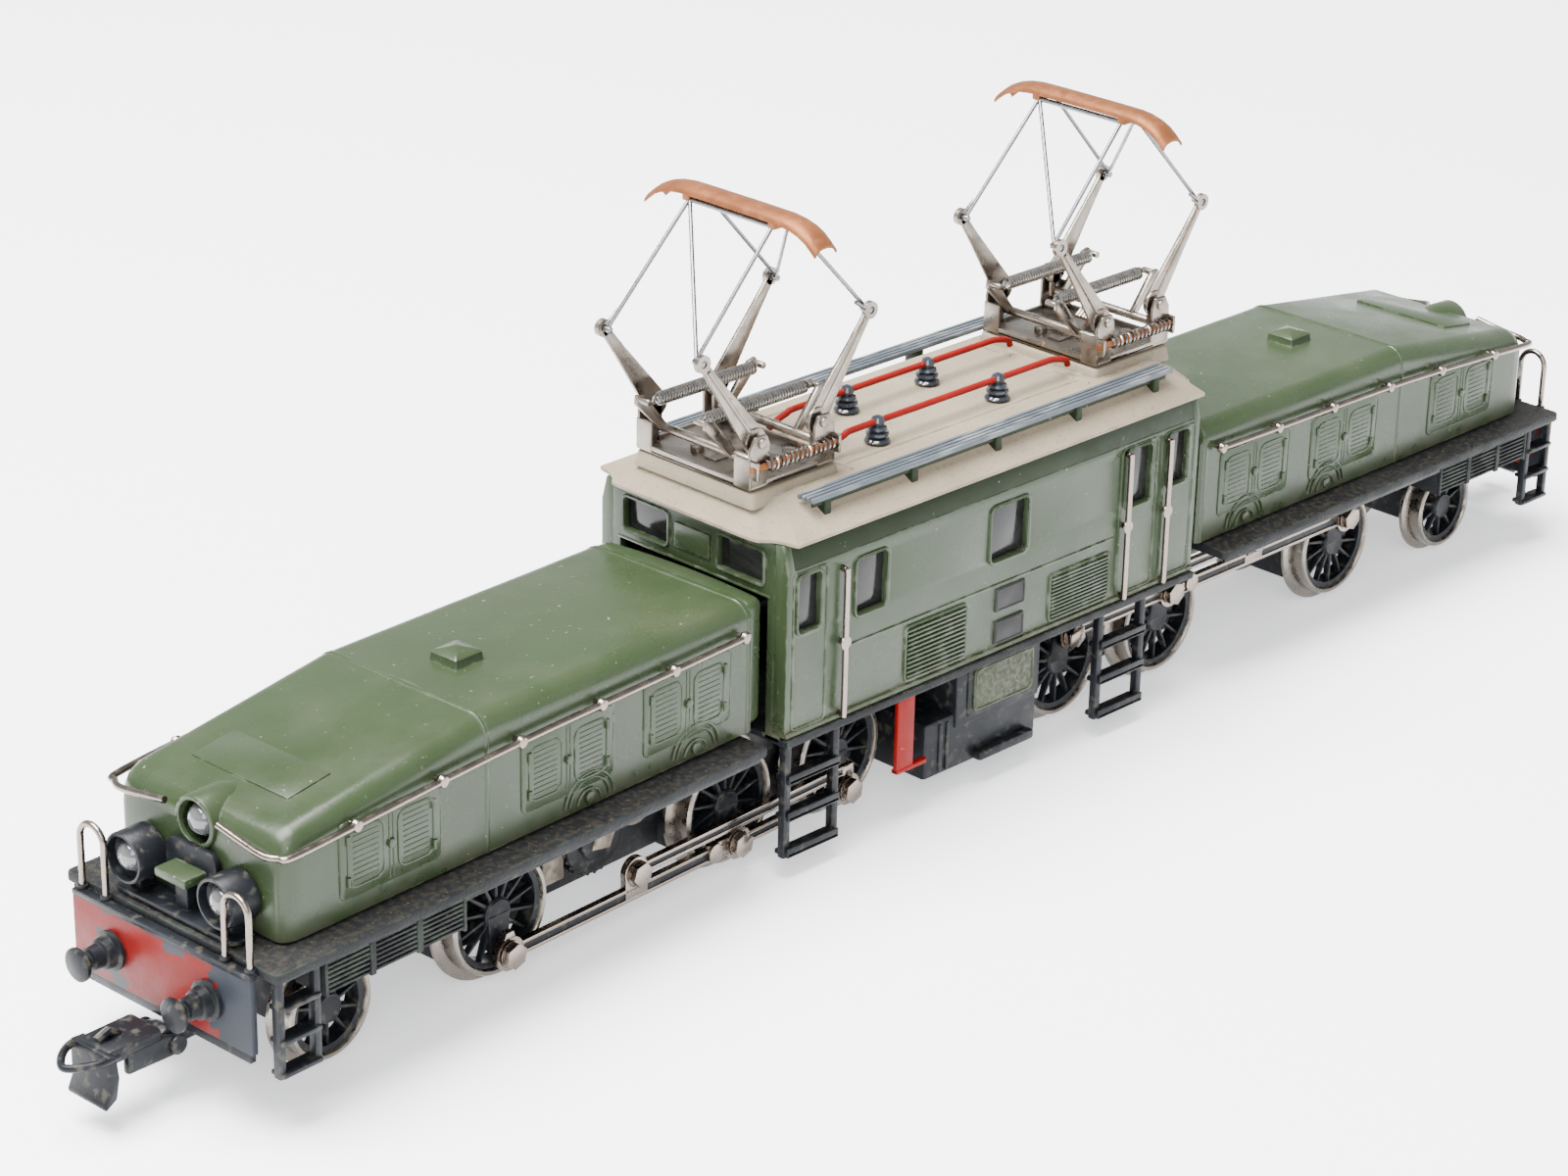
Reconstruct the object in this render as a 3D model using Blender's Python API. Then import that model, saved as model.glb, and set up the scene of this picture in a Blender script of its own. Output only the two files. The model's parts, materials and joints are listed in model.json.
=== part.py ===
"""Articulated model electric locomotive, H0 size: a cab in the middle carries two pantographs, and
two hooded trucks turn under its ends. Lengths are in millimetres until mesh_object() writes metres.
X runs along the locomotive, Y across it, Z up; the wheel flanges stand on Z = 0."""

import math

import bmesh
import bpy
from mathutils import Matrix, Vector

MM = 0.001
GAP = 0.3                      # between pieces that touch

# Trucks, measured in the first truck's own frame, whose nose points to -X
PIVOT_X = -36.0                # king pin
FIRST_TRUCK_YAW = math.radians(2.9)
NOSE_X = -122.8
HOOD_END_X = -44.6
HOOD_HALF = 14.3
HOOD_BOTTOM = 21.9
HOOD_TOP = 39.5
NOSE_TOP = 35.2
BAND_X = -91.0                 # where the hood starts to fall towards the nose
HOOD_WALL = 1.2
EDGE_ROUND = 2.6
NECK_HALF = 11.5
NECK_TOP = 36.5
NECK_END_X = -40.0
BOARD_TOP = 21.5
BOARD_BOTTOM = 19.9
BOARD_HALF = 18.5
BOARD_X = (-127.6, -46.0)
BEAM_X = -129.0
BEAM_HALF = 15.5
BEAM_Z = (9.5, 20.6)
BUFFER_Y, BUFFER_Z = 8.4, 15.4
LAMP_Y, LAMP_Z, LAMP_R = 8.0, 26.6, 3.2
TOP_LAMP_Z = 32.6
RAIL_Y = 15.5
RAIL_R = 0.45
KNOBS = ((-47.6, 36.0), (-60.3, 35.7), (-73.0, 35.5), (-86.5, 35.2), (-99.2, 34.6), (-112.6, 33.8))

# Wheels
DRIVERS = (-84.4, -43.5, -22.0)
DRIVER_Z, DRIVER_R, DRIVER_FLANGE = 9.3, 7.9, 9.3
PONY_X, PONY_Z, PONY_R, PONY_FLANGE = -112.0, 7.5, 6.4, 7.5
PONY_PIVOT_X = -96.0
WHEEL_OUT, FLANGE_OUT, WHEEL_IN = 9.7, 7.3, 6.4
AXLE_R = 1.5
CRANK = 4.7
PIN_R = 1.0
ROD_Y = (10.3, 11.3)
NUT_Y = (11.6, 12.9)
WHEEL_SIDES = 20
EAR_X, EAR_UP = -62.3, 2.8

# Cab
CAB_HALF_X, CAB_HALF_Y = 40.3, 16.9
CAB_Z = (20.2, 46.2)
CAB_WALL = 1.2
FLOOR_Z = (19.0, 19.9)
SIDE_WINDOWS = ((-38.3, -34.3, 34.2, 41.8), (-27.8, -22.2, 33.6, 41.2), (-2.2, 4.9, 33.4, 41.0),
                (25.2, 30.2, 33.6, 41.8), (34.0, 38.0, 34.4, 42.0))
END_WINDOWS = ((-12.6, -4.6), (4.6, 12.6))
END_WINDOW_Z = (40.2, 44.6)
LADDERS = ((-40.0, -30.0), (21.0, 31.0))
EAVE_HALF_X, EAVE_HALF_Y = 42.3, 18.0
DECK_Z = 50.6
PLINTH_Z = 51.7
ROOF_LINES = ((-6.9, -14.0, 9.2), (3.5, -8.9, 6.7))     # y, and x of each insulator
LINE_Z = 53.6

# Pantographs, each in its own frame centred at its middle
PANTO_X = -33.0
BASE_HALF = (7.6, 10.2)
BASE_Z = 52.0
ARM_PIVOT = (5.5, 57.9)
TIP = (14.75, 70.3)
MOUNT = (1.5, 84.5)
ARM_Y = (8.5, 9.2)
WIRE_Y = 7.9
WIRE_R = 0.35
SHOE_HALF = 15.0
SHOE_TOP = 86.3
SPRING_Y = (5.6, -3.6)
SPRING_Z = 60.1
SPRING_HALF = 9.1
SPRING_R = 0.95
CRANK_END = 10.1
CROSSBAR_DROP = 2.8

GREEN = (0.095, 0.15, 0.07)
ROOF = (0.52, 0.46, 0.36)
BLACK = (0.02, 0.022, 0.025)
NICKEL = (0.6, 0.56, 0.5)
STEEL = (0.4, 0.4, 0.4)
COPPER = (0.62, 0.3, 0.16)
RED = (0.55, 0.04, 0.03)


def clear_scene():
    for thing in list(bpy.data.objects):
        bpy.data.objects.remove(thing)


def material(name, colour, roughness, metallic):
    made = bpy.data.materials.get(name)
    if made:
        return made
    made = bpy.data.materials.new(name)
    made.use_nodes = True
    shader = made.node_tree.nodes["Principled BSDF"]
    shader.inputs["Base Color"].default_value = (*colour, 1)
    shader.inputs["Roughness"].default_value = roughness
    shader.inputs["Metallic"].default_value = metallic
    return made


FINISHES = {
    "green_paint": (GREEN, 0.3, 0.0),
    "roof_paint": (ROOF, 0.6, 0.0),
    "black_paint": (BLACK, 0.4, 0.0),
    "nickel": (NICKEL, 0.3, 1.0),
    "steel": (STEEL, 0.4, 1.0),
    "copper": (COPPER, 0.35, 1.0),
    "red_paint": (RED, 0.35, 0.0),
}


# Shapes: each returns (points, faces) in millimetres, closed and facing out

def hull(points):
    mesh = bmesh.new()
    for point in points:
        mesh.verts.new(point)
    result = bmesh.ops.convex_hull(mesh, input=mesh.verts)
    loose = [v for v in result["geom_interior"] if isinstance(v, bmesh.types.BMVert)]
    bmesh.ops.delete(mesh, geom=loose, context="VERTS")
    bmesh.ops.recalc_face_normals(mesh, faces=mesh.faces)
    mesh.verts.index_update()
    made = [tuple(v.co) for v in mesh.verts], [[v.index for v in f.verts] for f in mesh.faces]
    mesh.free()
    return made


def loft(sections):
    """Closed skin through rings of the same number of points, with flat ends."""
    count = len(sections[0])
    points = [p for ring in sections for p in ring]
    faces = []
    for i in range(len(sections) - 1):
        a, b = i * count, (i + 1) * count
        for j in range(count):
            k = (j + 1) % count
            faces.append([a + j, a + k, b + k, b + j])
    faces.append(list(range(count))[::-1])
    faces.append([len(points) - count + j for j in range(count)])
    return points, faces


def prism(outline, axis, low, high):
    """An outline given in the two other axes, in X, Y, Z order, drawn out along axis."""
    def at(point, value):
        full = list(point)
        full.insert("xyz".index(axis), value)
        return tuple(full)
    return loft([[at(p, low) for p in outline], [at(p, high) for p in outline]])


def box(x, y, z):
    return prism([(x[0], y[0]), (x[1], y[0]), (x[1], y[1]), (x[0], y[1])], "z", *z)


def circle(centre, radius, sides, turn=0.0):
    angles = [turn + 2 * math.pi * i / sides for i in range(sides)]
    return [(centre[0] + radius * math.cos(a), centre[1] + radius * math.sin(a)) for a in angles]


def disc(axis, centre, radius, span, sides=12, turn=0.0):
    return prism(circle(centre, radius, sides, turn), axis, *span)


def tube(path, radius, sides=6):
    """A round wire along a path of points."""
    path = [Vector(p) for p in path]
    rings = []
    side = None
    for i, point in enumerate(path):
        before = path[max(i - 1, 0)]
        after = path[min(i + 1, len(path) - 1)]
        along = (after - before).normalized()
        if side is None:
            side = along.cross(Vector((0.13, 0.21, 0.97))).normalized()
        side = (side - along * side.dot(along)).normalized()
        up = along.cross(side)
        ring = []
        for j in range(sides):
            a = 2 * math.pi * j / sides
            ring.append(tuple(point + radius * (math.cos(a) * side + math.sin(a) * up)))
        rings.append(ring)
    return loft(rings)


def turned(axis, centre, profile, sides=WHEEL_SIDES):
    """A turned piece from (distance along axis, radius); its flats touch the true circle."""
    rings = []
    outer = 1 / math.cos(math.pi / sides)
    for along, radius in profile:
        ring = []
        for point in circle(centre, radius * outer, sides, math.pi / sides):
            full = list(point)
            full.insert("xyz".index(axis), along)
            ring.append(tuple(full))
        rings.append(ring)
    return loft(rings)


def mesh_object(name, shape, origin):
    mesh = bpy.data.meshes.new(name)
    points, faces = shape
    points = [(Vector(p) - Vector(origin)) * MM for p in points]
    mesh.from_pydata(points, [], faces)
    work = bmesh.new()
    work.from_mesh(mesh)
    bmesh.ops.recalc_face_normals(work, faces=work.faces)
    work.to_mesh(mesh)
    work.free()
    made = bpy.data.objects.new(name, mesh)
    bpy.context.scene.collection.objects.link(made)
    return made


def combine(name, target, shapes, operation, origin):
    """One exact Boolean of the target with all the shapes, applied."""
    helpers = bpy.data.collections.new(name + "_" + operation.lower())
    for i, shape in enumerate(shapes):
        helper = mesh_object(f"{name}_{operation.lower()}_{i}", shape, origin)
        bpy.context.scene.collection.objects.unlink(helper)
        helpers.objects.link(helper)
    modifier = target.modifiers.new(operation.title(), "BOOLEAN")
    modifier.operation = operation
    modifier.operand_type = "COLLECTION"
    modifier.collection = helpers
    modifier.solver = "EXACT"
    graph = bpy.context.evaluated_depsgraph_get()
    applied = bpy.data.meshes.new_from_object(target.evaluated_get(graph))
    target.modifiers.clear()
    target.data = applied
    for helper in list(helpers.objects):
        bpy.data.objects.remove(helper)
    bpy.data.collections.remove(helpers)


def piece(name, finish, adds, cuts=(), origin=(0, 0, 0), place=None):
    """One named solid: the union of adds less cuts, its origin on its joint, moved by place."""
    made = mesh_object(name, adds[0], origin)
    if len(adds) > 1:
        combine(name, made, adds[1:], "UNION", origin)
    if cuts:
        combine(name, made, cuts, "DIFFERENCE", origin)
    made.data.materials.clear()
    made.data.materials.append(material(finish, *FINISHES[finish]))
    made.data.shade_smooth()
    made.data.set_sharp_from_angle(angle=math.radians(35))
    shift = Matrix.Translation(Vector(origin) * MM)
    made.matrix_world = (place or Matrix()) @ shift
    return made


# Trucks

def hood_section(x, half, bottom, top, rounding):
    """Ring across the hood at x: square at the bottom, rounded at the two top edges."""
    ring = [(x, -half, bottom), (x, half, bottom)]
    for sign in (1, -1):
        steps = range(4) if sign > 0 else range(3, -1, -1)
        for step in steps:
            a = math.radians(30 * step)
            y = half - rounding + rounding * math.cos(a)
            z = top - rounding + rounding * math.sin(a)
            ring.append((x, sign * y, z))
    return ring


def hood(name, place):
    outer = loft([
        hood_section(NOSE_X, HOOD_HALF - 1.2, HOOD_BOTTOM, NOSE_TOP - 1.2, EDGE_ROUND),
        hood_section(NOSE_X + 1.2, HOOD_HALF, HOOD_BOTTOM, NOSE_TOP, EDGE_ROUND),
        hood_section(BAND_X, HOOD_HALF, HOOD_BOTTOM, HOOD_TOP, EDGE_ROUND),
        hood_section(HOOD_END_X, HOOD_HALF, HOOD_BOTTOM, HOOD_TOP, EDGE_ROUND),
    ])
    wall = HOOD_WALL
    inner = loft([
        hood_section(NOSE_X + wall + 0.4, HOOD_HALF - wall - 0.4, 10, NOSE_TOP - wall - 0.4, 1.6),
        hood_section(BAND_X, HOOD_HALF - wall, 10, HOOD_TOP - wall, 1.6),
        hood_section(HOOD_END_X - wall, HOOD_HALF - wall, 10, HOOD_TOP - wall, 1.6),
    ])
    neck = box((HOOD_END_X - 0.6, NECK_END_X), (-NECK_HALF, NECK_HALF), (HOOD_BOTTOM + 0.2, NECK_TOP))
    neck_hole = box((HOOD_END_X - 4, NECK_END_X + 2), (-NECK_HALF + wall, NECK_HALF - wall),
                    (11, NECK_TOP - wall))
    roof_box = box((-84.6, -79.6), (-2.6, 2.6), (HOOD_TOP - 0.6, 40.9))
    lamp_hole = disc("x", (0, TOP_LAMP_Z), 2.9, (NOSE_X - 3, NOSE_X + 4), 16)
    piece(name, "green_paint", [outer, neck, roof_box], [inner, neck_hole, lamp_hole], place=place)


def truck_frame(name, place):
    board = box(BOARD_X, (-BOARD_HALF, BOARD_HALF), (BOARD_BOTTOM, BOARD_TOP))
    adds = [board]
    adds.append(box((-92, -77), (-6, 6), (4.5, BOARD_TOP - 0.4)))
    adds.append(box((-51, -12.5), (-6, 6), (4.5, 18.6)))
    adds.append(box((-51, -46.4), (-6, 6), (18, BOARD_TOP - 0.4)))
    adds.append(box((-100, -91), (-5, 5), (14.6, BOARD_TOP - 0.4)))
    adds.append(box((-123.4, -119.9), (-2.2, 2.2), (9.6, BOARD_TOP - 0.4)))
    adds.append(disc("z", (PIVOT_X, 0), 3.0, (18, 23.5), 12))
    for side in (-1, 1):
        ys = sorted((side * 12.6, side * 17.4))
        adds.append(box((-120, -98), ys, (15.6, 20.6)))
        wall = sorted((side * 16.6, side * 17.8))
        for x in (-127.0, -121.6):
            adds.append(box((x, x + 1.0), wall, (7.6, 20.6)))
        tread = sorted((side * 15.9, side * 18.2))
        for z in (7.8, 12.0, 16.2):
            adds.append(box((-126.6, -121.0), tread, (z, z + 0.7)))
    cuts = [disc("y", (x, DRIVER_Z), AXLE_R + GAP, (-7, 7), 12) for x in DRIVERS]
    cuts.append(box((-78, -50), (-9.6, 9.6), (BOARD_BOTTOM - 1, BOARD_TOP + 1)))
    piece(name, "black_paint", adds, cuts, origin=(PIVOT_X, 0, 20), place=place)


def motor(name, finish, place):
    low = box((-75.6, -52.4), (-5.7, 5.7), (6.0, 22.6))
    high = box((-76.4, -51.6), (-9.2, 9.2), (22.0, 33.0))
    drum = disc("x", (0, 15.5), 5.4, (-77.4 + 1.2, -60), 12)
    shaft = disc("y", (-66.0, 13.2), 2.0, (-8.6, 8.6), 12)
    piece(name, finish, [low, high, shaft, drum], place=place)


def wheel_profile(tread, flange, bore, out):
    half = [(-out, tread), (-FLANGE_OUT, tread), (-FLANGE_OUT + 0.3, flange), (-WHEEL_IN, flange),
            (-WHEEL_IN, bore)]
    return half + [(-y, r) for y, r in reversed(half)]


def driver(name, x, place):
    """Two wheels on an axle, with the crank pins half a turn apart."""
    shape = [turned("y", (x, DRIVER_Z), wheel_profile(DRIVER_R, DRIVER_FLANGE, AXLE_R, WHEEL_OUT))]
    for side in (-1, 1):
        pin_z = DRIVER_Z + side * CRANK
        pin = sorted((side * (WHEEL_OUT - 0.4), side * (NUT_Y[0] + 0.4)))
        nut = sorted((side * NUT_Y[0], side * NUT_Y[1]))
        shape.append(disc("y", (x, pin_z), PIN_R, pin, 12))
        shape.append(disc("y", (x, pin_z), 1.9, nut, 6))
    piece(name, "nickel", shape, origin=(x, 0, DRIVER_Z), place=place)


def side_rod(name, side, place):
    """Coupling rod of one side: a long bar over the three crank pins, and a short bar above it."""
    z = DRIVER_Z + side * CRANK
    ys = sorted((side * ROD_Y[0], side * ROD_Y[1]))
    first, _, third = DRIVERS
    adds = [box((first, third), ys, (z - 0.9, z + 0.9))]
    adds += [disc("y", (x, z), 2.3, ys, 12) for x in DRIVERS]
    adds.append(disc("y", (EAR_X, z + EAR_UP), 2.1, ys, 12))
    adds.append(box((EAR_X - 1.6, EAR_X + 1.6), ys, (z, z + EAR_UP)))
    adds.append(box((EAR_X, third + 1.2), ys, (z + EAR_UP - 0.7, z + EAR_UP + 0.8)))
    adds.append(box((third - 1.1, third + 1.3), ys, (z, z + EAR_UP + 0.7)))
    nut = sorted((side * (ROD_Y[1] - 0.3), side * NUT_Y[1]))
    adds.append(disc("y", (EAR_X, z + EAR_UP), 1.6, nut, 6))
    hole = sorted((side * 9.0, side * 12.0))
    cuts = [disc("y", (x, z), PIN_R + GAP, hole, 12) for x in DRIVERS]
    piece(name, "nickel", adds, cuts, origin=(first, side * 10.8, z), place=place)


def pony(prefix, place):
    block = box((-115.5, -108.5), (-5.9, 5.9), (4.6, 12.0))
    arm = box((-110, PONY_PIVOT_X + 2), (-2.6, 2.6), (9.5, 12.0))
    boss = disc("z", (PONY_PIVOT_X, 0), 2.6, (9.5, 14.3), 12)
    hole = disc("y", (PONY_X, PONY_Z), AXLE_R + GAP, (-7, 7), 12)
    piece(prefix + "_pony_frame", "black_paint", [block, arm, boss], [hole],
          origin=(PONY_PIVOT_X, 0, 12), place=place)
    profile = wheel_profile(PONY_R, PONY_FLANGE, AXLE_R, WHEEL_OUT)
    piece(prefix + "_pony_wheelset", "nickel", [turned("y", (PONY_X, PONY_Z), profile)],
          origin=(PONY_X, 0, PONY_Z), place=place)


def nose(prefix, place):
    """Buffer beam with its two hand hoops, buffers, lower lamps on their bracket, upper lamp."""
    adds = [box((BEAM_X, BEAM_X + 1), (-BEAM_HALF, BEAM_HALF), BEAM_Z)]
    x = BEAM_X + 0.5
    for side in (-1, 1):
        low, high = BEAM_Z[1] - 0.5, 27.9
        route = [(x, side * 10.4, low), (x, side * 10.4, high), (x, side * 11.2, high + 1.2),
                 (x, side * 12.5, high + 1.7), (x, side * 13.8, high + 1.2),
                 (x, side * 14.6, high), (x, side * 14.6, low)]
        adds.append(tube(route, 0.42))
    piece(prefix + "_buffer_beam", "red_paint", adds, place=place)
    for side, word in ((-1, "left"), (1, "right")):
        profile = [(BEAM_X - GAP, 1.9), (-129.9, 1.9), (-129.9, 1.4), (-132.2, 1.4),
                   (-132.2, 0.95), (-133.7, 0.95), (-133.9, 2.1), (-134.6, 2.1)]
        shape = turned("x", (side * BUFFER_Y, BUFFER_Z), profile, 12)
        piece(f"{prefix}_buffer_{word}", "black_paint", [shape], place=place)
    tray = box((-127.0, NOSE_X - GAP), (-10.6, 10.6), (BOARD_TOP + GAP, 22.6))
    upright = box((-124.0, NOSE_X - GAP), (-4.4, 4.4), (22.2, 29.2))
    post = box((-125.6, -123.6), (-1.1, 1.1), (22.2, 26.6))
    step = box((-127.2, -123.6), (-2.7, 2.7), (26.2, 27.5))
    adds = [tray, upright, post, step]
    for side in (-1, 1):
        adds.append(disc("x", (side * LAMP_Y, LAMP_Z), LAMP_R, (-127.4, NOSE_X - GAP), 16))
        adds.append(box((-125.8, -123.4), sorted((side * 7.0, side * 9.0)), (22.2, 24.4)))
    piece(prefix + "_lamp_bracket", "black_paint", adds, place=place)
    lens = [(-124.6, 0.6), (-124.2, 1.5), (-123.4, 2.1), (-122.4, 2.3), (-119.4, 2.3)]
    piece(prefix + "_upper_lamp", "steel", [turned("x", (0, TOP_LAMP_Z), lens, 12)], place=place)


def coupler(prefix, place):
    arm = box((-128.6, -119.6), (-1.9, 1.9), (6.6, 8.4))
    boss = disc("z", (-121.6, 0), 1.7, (6.6, 9.3), 12)
    eye = disc("y", (-129.4, 7.5), 1.6, (-1.4, 1.4), 12)
    piece(prefix + "_coupler_arm", "black_paint", [arm, boss, eye],
          origin=(-121.6, 0, 8), place=place)
    cheeks = [box((-136.6, -128.2), sorted((s * 1.9, s * 2.9)), (6.2, 9.1)) for s in (-1, 1)]
    body = box((-139.2, -131.4), (-2.9, 2.9), (8.4, 10.6))
    claw = hull([(-138.6, y, z) for y in (-3.6, 3.6) for z in (4.2, 9.4)]
                + [(-140.0, y, z) for y in (-3.2, 3.2) for z in (3.6, 9.4)])
    loop = prism([(-138.0, -3.2), (-140.5, -3.2), (-144.0, 0.0), (-140.5, 3.2), (-138.0, 3.2)],
                 "z", 9.2, 10.2)
    opening = prism([(-139.6, -2.2), (-142.4, 0.0), (-139.6, 2.2)], "z", 8.9, 11)
    piece(prefix + "_coupler_claw", "black_paint", cheeks + [body, claw, loop], [opening],
          origin=(-129.4, 0, 7.5), place=place)


def handrail(name, side, place):
    """Wire on knobs along one side of the hood, bent round the nose corner to the upper lamp."""
    y = side * RAIL_Y
    route = [(x, y, z) for x, z in KNOBS]
    corner = NOSE_X + 1.2
    route += [(corner - 0.3, side * (RAIL_Y - 0.3), 33.1), (corner - 1.5, side * (RAIL_Y - 1.4), 33.0),
              (NOSE_X - 1.0, side * (RAIL_Y - 3.2), 33.0), (NOSE_X - 1.1, side * 4.6, 34.0)]
    adds = [tube(route, RAIL_R)]
    for x, z in KNOBS:
        ys = sorted((side * (HOOD_HALF + GAP), side * (RAIL_Y + 0.5)))
        adds.append(box((x - 0.55, x + 0.55), ys, (z - 0.6, z + 0.6)))
    piece(name, "nickel", adds, place=place)


def truck(prefix, place):
    truck_frame(prefix + "_truck_frame", place)
    hood(prefix + "_hood", place)
    for side, word in ((-1, "left"), (1, "right")):
        handrail(f"{prefix}_handrail_{word}", side, place)
        side_rod(f"{prefix}_side_rod_{word}", side, place)
    for i, x in enumerate(DRIVERS):
        driver(f"{prefix}_driving_wheelset_{i + 1}", x, place)
    pony(prefix, place)
    nose(prefix, place)
    coupler(prefix, place)


# Cab

def cab_shell():
    outer = box((-CAB_HALF_X, CAB_HALF_X), (-CAB_HALF_Y, CAB_HALF_Y), CAB_Z)
    inner = box((-CAB_HALF_X + CAB_WALL, CAB_HALF_X - CAB_WALL),
                (-CAB_HALF_Y + CAB_WALL, CAB_HALF_Y - CAB_WALL), (CAB_Z[0] - 2, CAB_Z[1] + 2))
    doorway = box((-50, 50), (-13.4, 13.4), (CAB_Z[0] - 1, 38.6))
    cuts = [inner, doorway]
    for side in (-1, 1):
        ys = sorted((side * 15, side * 18))
        for x0, x1, z0, z1 in SIDE_WINDOWS:
            xs = (x0, x1) if side < 0 else (-x1, -x0)
            cuts.append(box(xs, ys, (z0, z1)))
    for ys in END_WINDOWS:
        cuts.append(box((-50, 50), ys, END_WINDOW_Z))
    piece("cab_shell", "green_paint", [outer], cuts)


def cab_floor():
    """Floor plate under the cab with its four step ladders."""
    adds = [box((-40.3, 40.3), (-16.8, 16.8), FLOOR_Z)]
    for side in (-1, 1):
        posts = sorted((side * 15.7, side * 16.7))
        treads = sorted((side * 14.9, side * 17.4))
        for ladder in LADDERS:
            x0, x1 = ladder if side < 0 else (-ladder[1], -ladder[0])
            for x in (x0, x1 - 1.2):
                adds.append(box((x, x + 1.2), posts, (3.0, 19.5)))
            for z in (3.2, 8.4, 13.6):
                adds.append(box((x0 + 0.4, x1 - 0.4), treads, (z, z + 0.9)))
    cuts = [disc("z", (side * PIVOT_X, 0), 3.6, (18, 21), 12) for side in (-1, 1)]
    piece("cab_floor", "black_paint", adds, cuts)


def equipment():
    upper = box((-5.6, 11.2), (-15.0, 15.0), (9.6, FLOOR_Z[0] - GAP))
    lower = box((-11.2, 11.2), (-14.6, 14.6), (3.6, 11.8))
    hatches = [box((-2.9, 9.4), sorted((s * 14.6, s * 15.7)), (11.0, 18.2)) for s in (-1, 1)]
    piece("equipment_box", "black_paint", [upper, lower] + hatches)
    strip = box((-18.4, -15.2), (-16.3, -15.5), (7.6, FLOOR_Z[0] - GAP))
    foot = box((-18.4, -12.2), (-16.3, -15.3 + 0.1), (7.6, 8.4))
    piece("changeover_lever", "red_paint", [strip, foot], origin=(-16.8, -15.9, 18.2))


def cab_roof():
    """Hipped roof with a flat deck, two plinths for the pantographs and two slatted walkways."""
    plan = [(-EAVE_HALF_X, -12.4), (-40.6, -14.6), (-39.6, -EAVE_HALF_Y)]
    plan = plan + [(-x, y) for x, y in reversed(plan)]
    plan = plan + [(-x, -y) for x, y in plan]
    skirt = prism(plan, "z", 46.5, 47.1)
    rise = hull([(x, y, 46.9) for x, y in plan]
                + [(x, y, 50.0) for x in (-39.6, 39.6) for y in (-12.6, 12.6)])
    adds = [skirt, rise]
    adds.append(box((-39.0, 39.0), (-11.4, 11.4), (49.4, DECK_Z)))
    for side in (-1, 1):
        xs = sorted((side * 24.6, side * 40.8))
        adds.append(box(xs, (-10.9, 10.9), (49.0, PLINTH_Z)))
        ys = sorted((side * 13.0, side * 16.0))
        adds.append(box((-35, 35), ys, (50.4, 51.1)))
        for i in range(5):
            x = -32 + 16 * i
            adds.append(box((x - 0.6, x + 0.6), sorted((side * 13.6, side * 15.2)), (48.0, 50.8)))
    hollow = box((-37.5, 37.5), (-11.4, 11.4), (46.0, 48.4))
    piece("cab_roof", "roof_paint", adds, [hollow])


def roof_line(name, y, insulators):
    """Red wire between the pantographs, held by two ribbed insulators."""
    low = DECK_Z + GAP
    ends = (-23.4, 23.4)
    route = [(ends[0], y, 52.2), (ends[0] + 3.2, y, LINE_Z - 0.3), (ends[0] + 4.6, y, LINE_Z),
             (ends[1] - 4.6, y, LINE_Z), (ends[1] - 3.2, y, LINE_Z - 0.3), (ends[1], y, 52.2)]
    adds = [tube(route, 0.45)]
    for x in insulators:
        ribs = [(low, 1.3), (low + 0.5, 1.7), (low + 1.0, 1.7), (low + 1.1, 1.1),
                (low + 1.9, 1.4), (low + 2.1, 0.9), (LINE_Z + 0.6, 0.9)]
        adds.append(turned("z", (x, y), ribs, 8))
    piece(name, "red_paint", adds)


# Pantographs

def panto_base(name, place):
    x, y = BASE_HALF
    tray = box((-x, x), (-y, y), (BASE_Z, BASE_Z + 0.9))
    adds = [tray]
    for end in (-1, 1):
        for side in (-1, 1):
            ys = sorted((side * (y - 0.7), side * y))
            ear = sorted((end * (ARM_PIVOT[0] - 1.4), end * x))
            adds.append(box(ear, ys, (BASE_Z + 0.5, ARM_PIVOT[1] + 1.0)))
        corner = sorted((end * (x - 0.8), end * x))
        for side in (-1, 1):
            adds.append(box(corner, sorted((side * (y - 2.6), side * y)), (BASE_Z + 0.5, 56.2)))
    latch = box((-1.5, 3.4), (-1.2, 1.2), (BASE_Z + 0.5, 54.4))
    adds.append(latch)
    piece(name, "nickel", adds, place=place)


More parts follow.
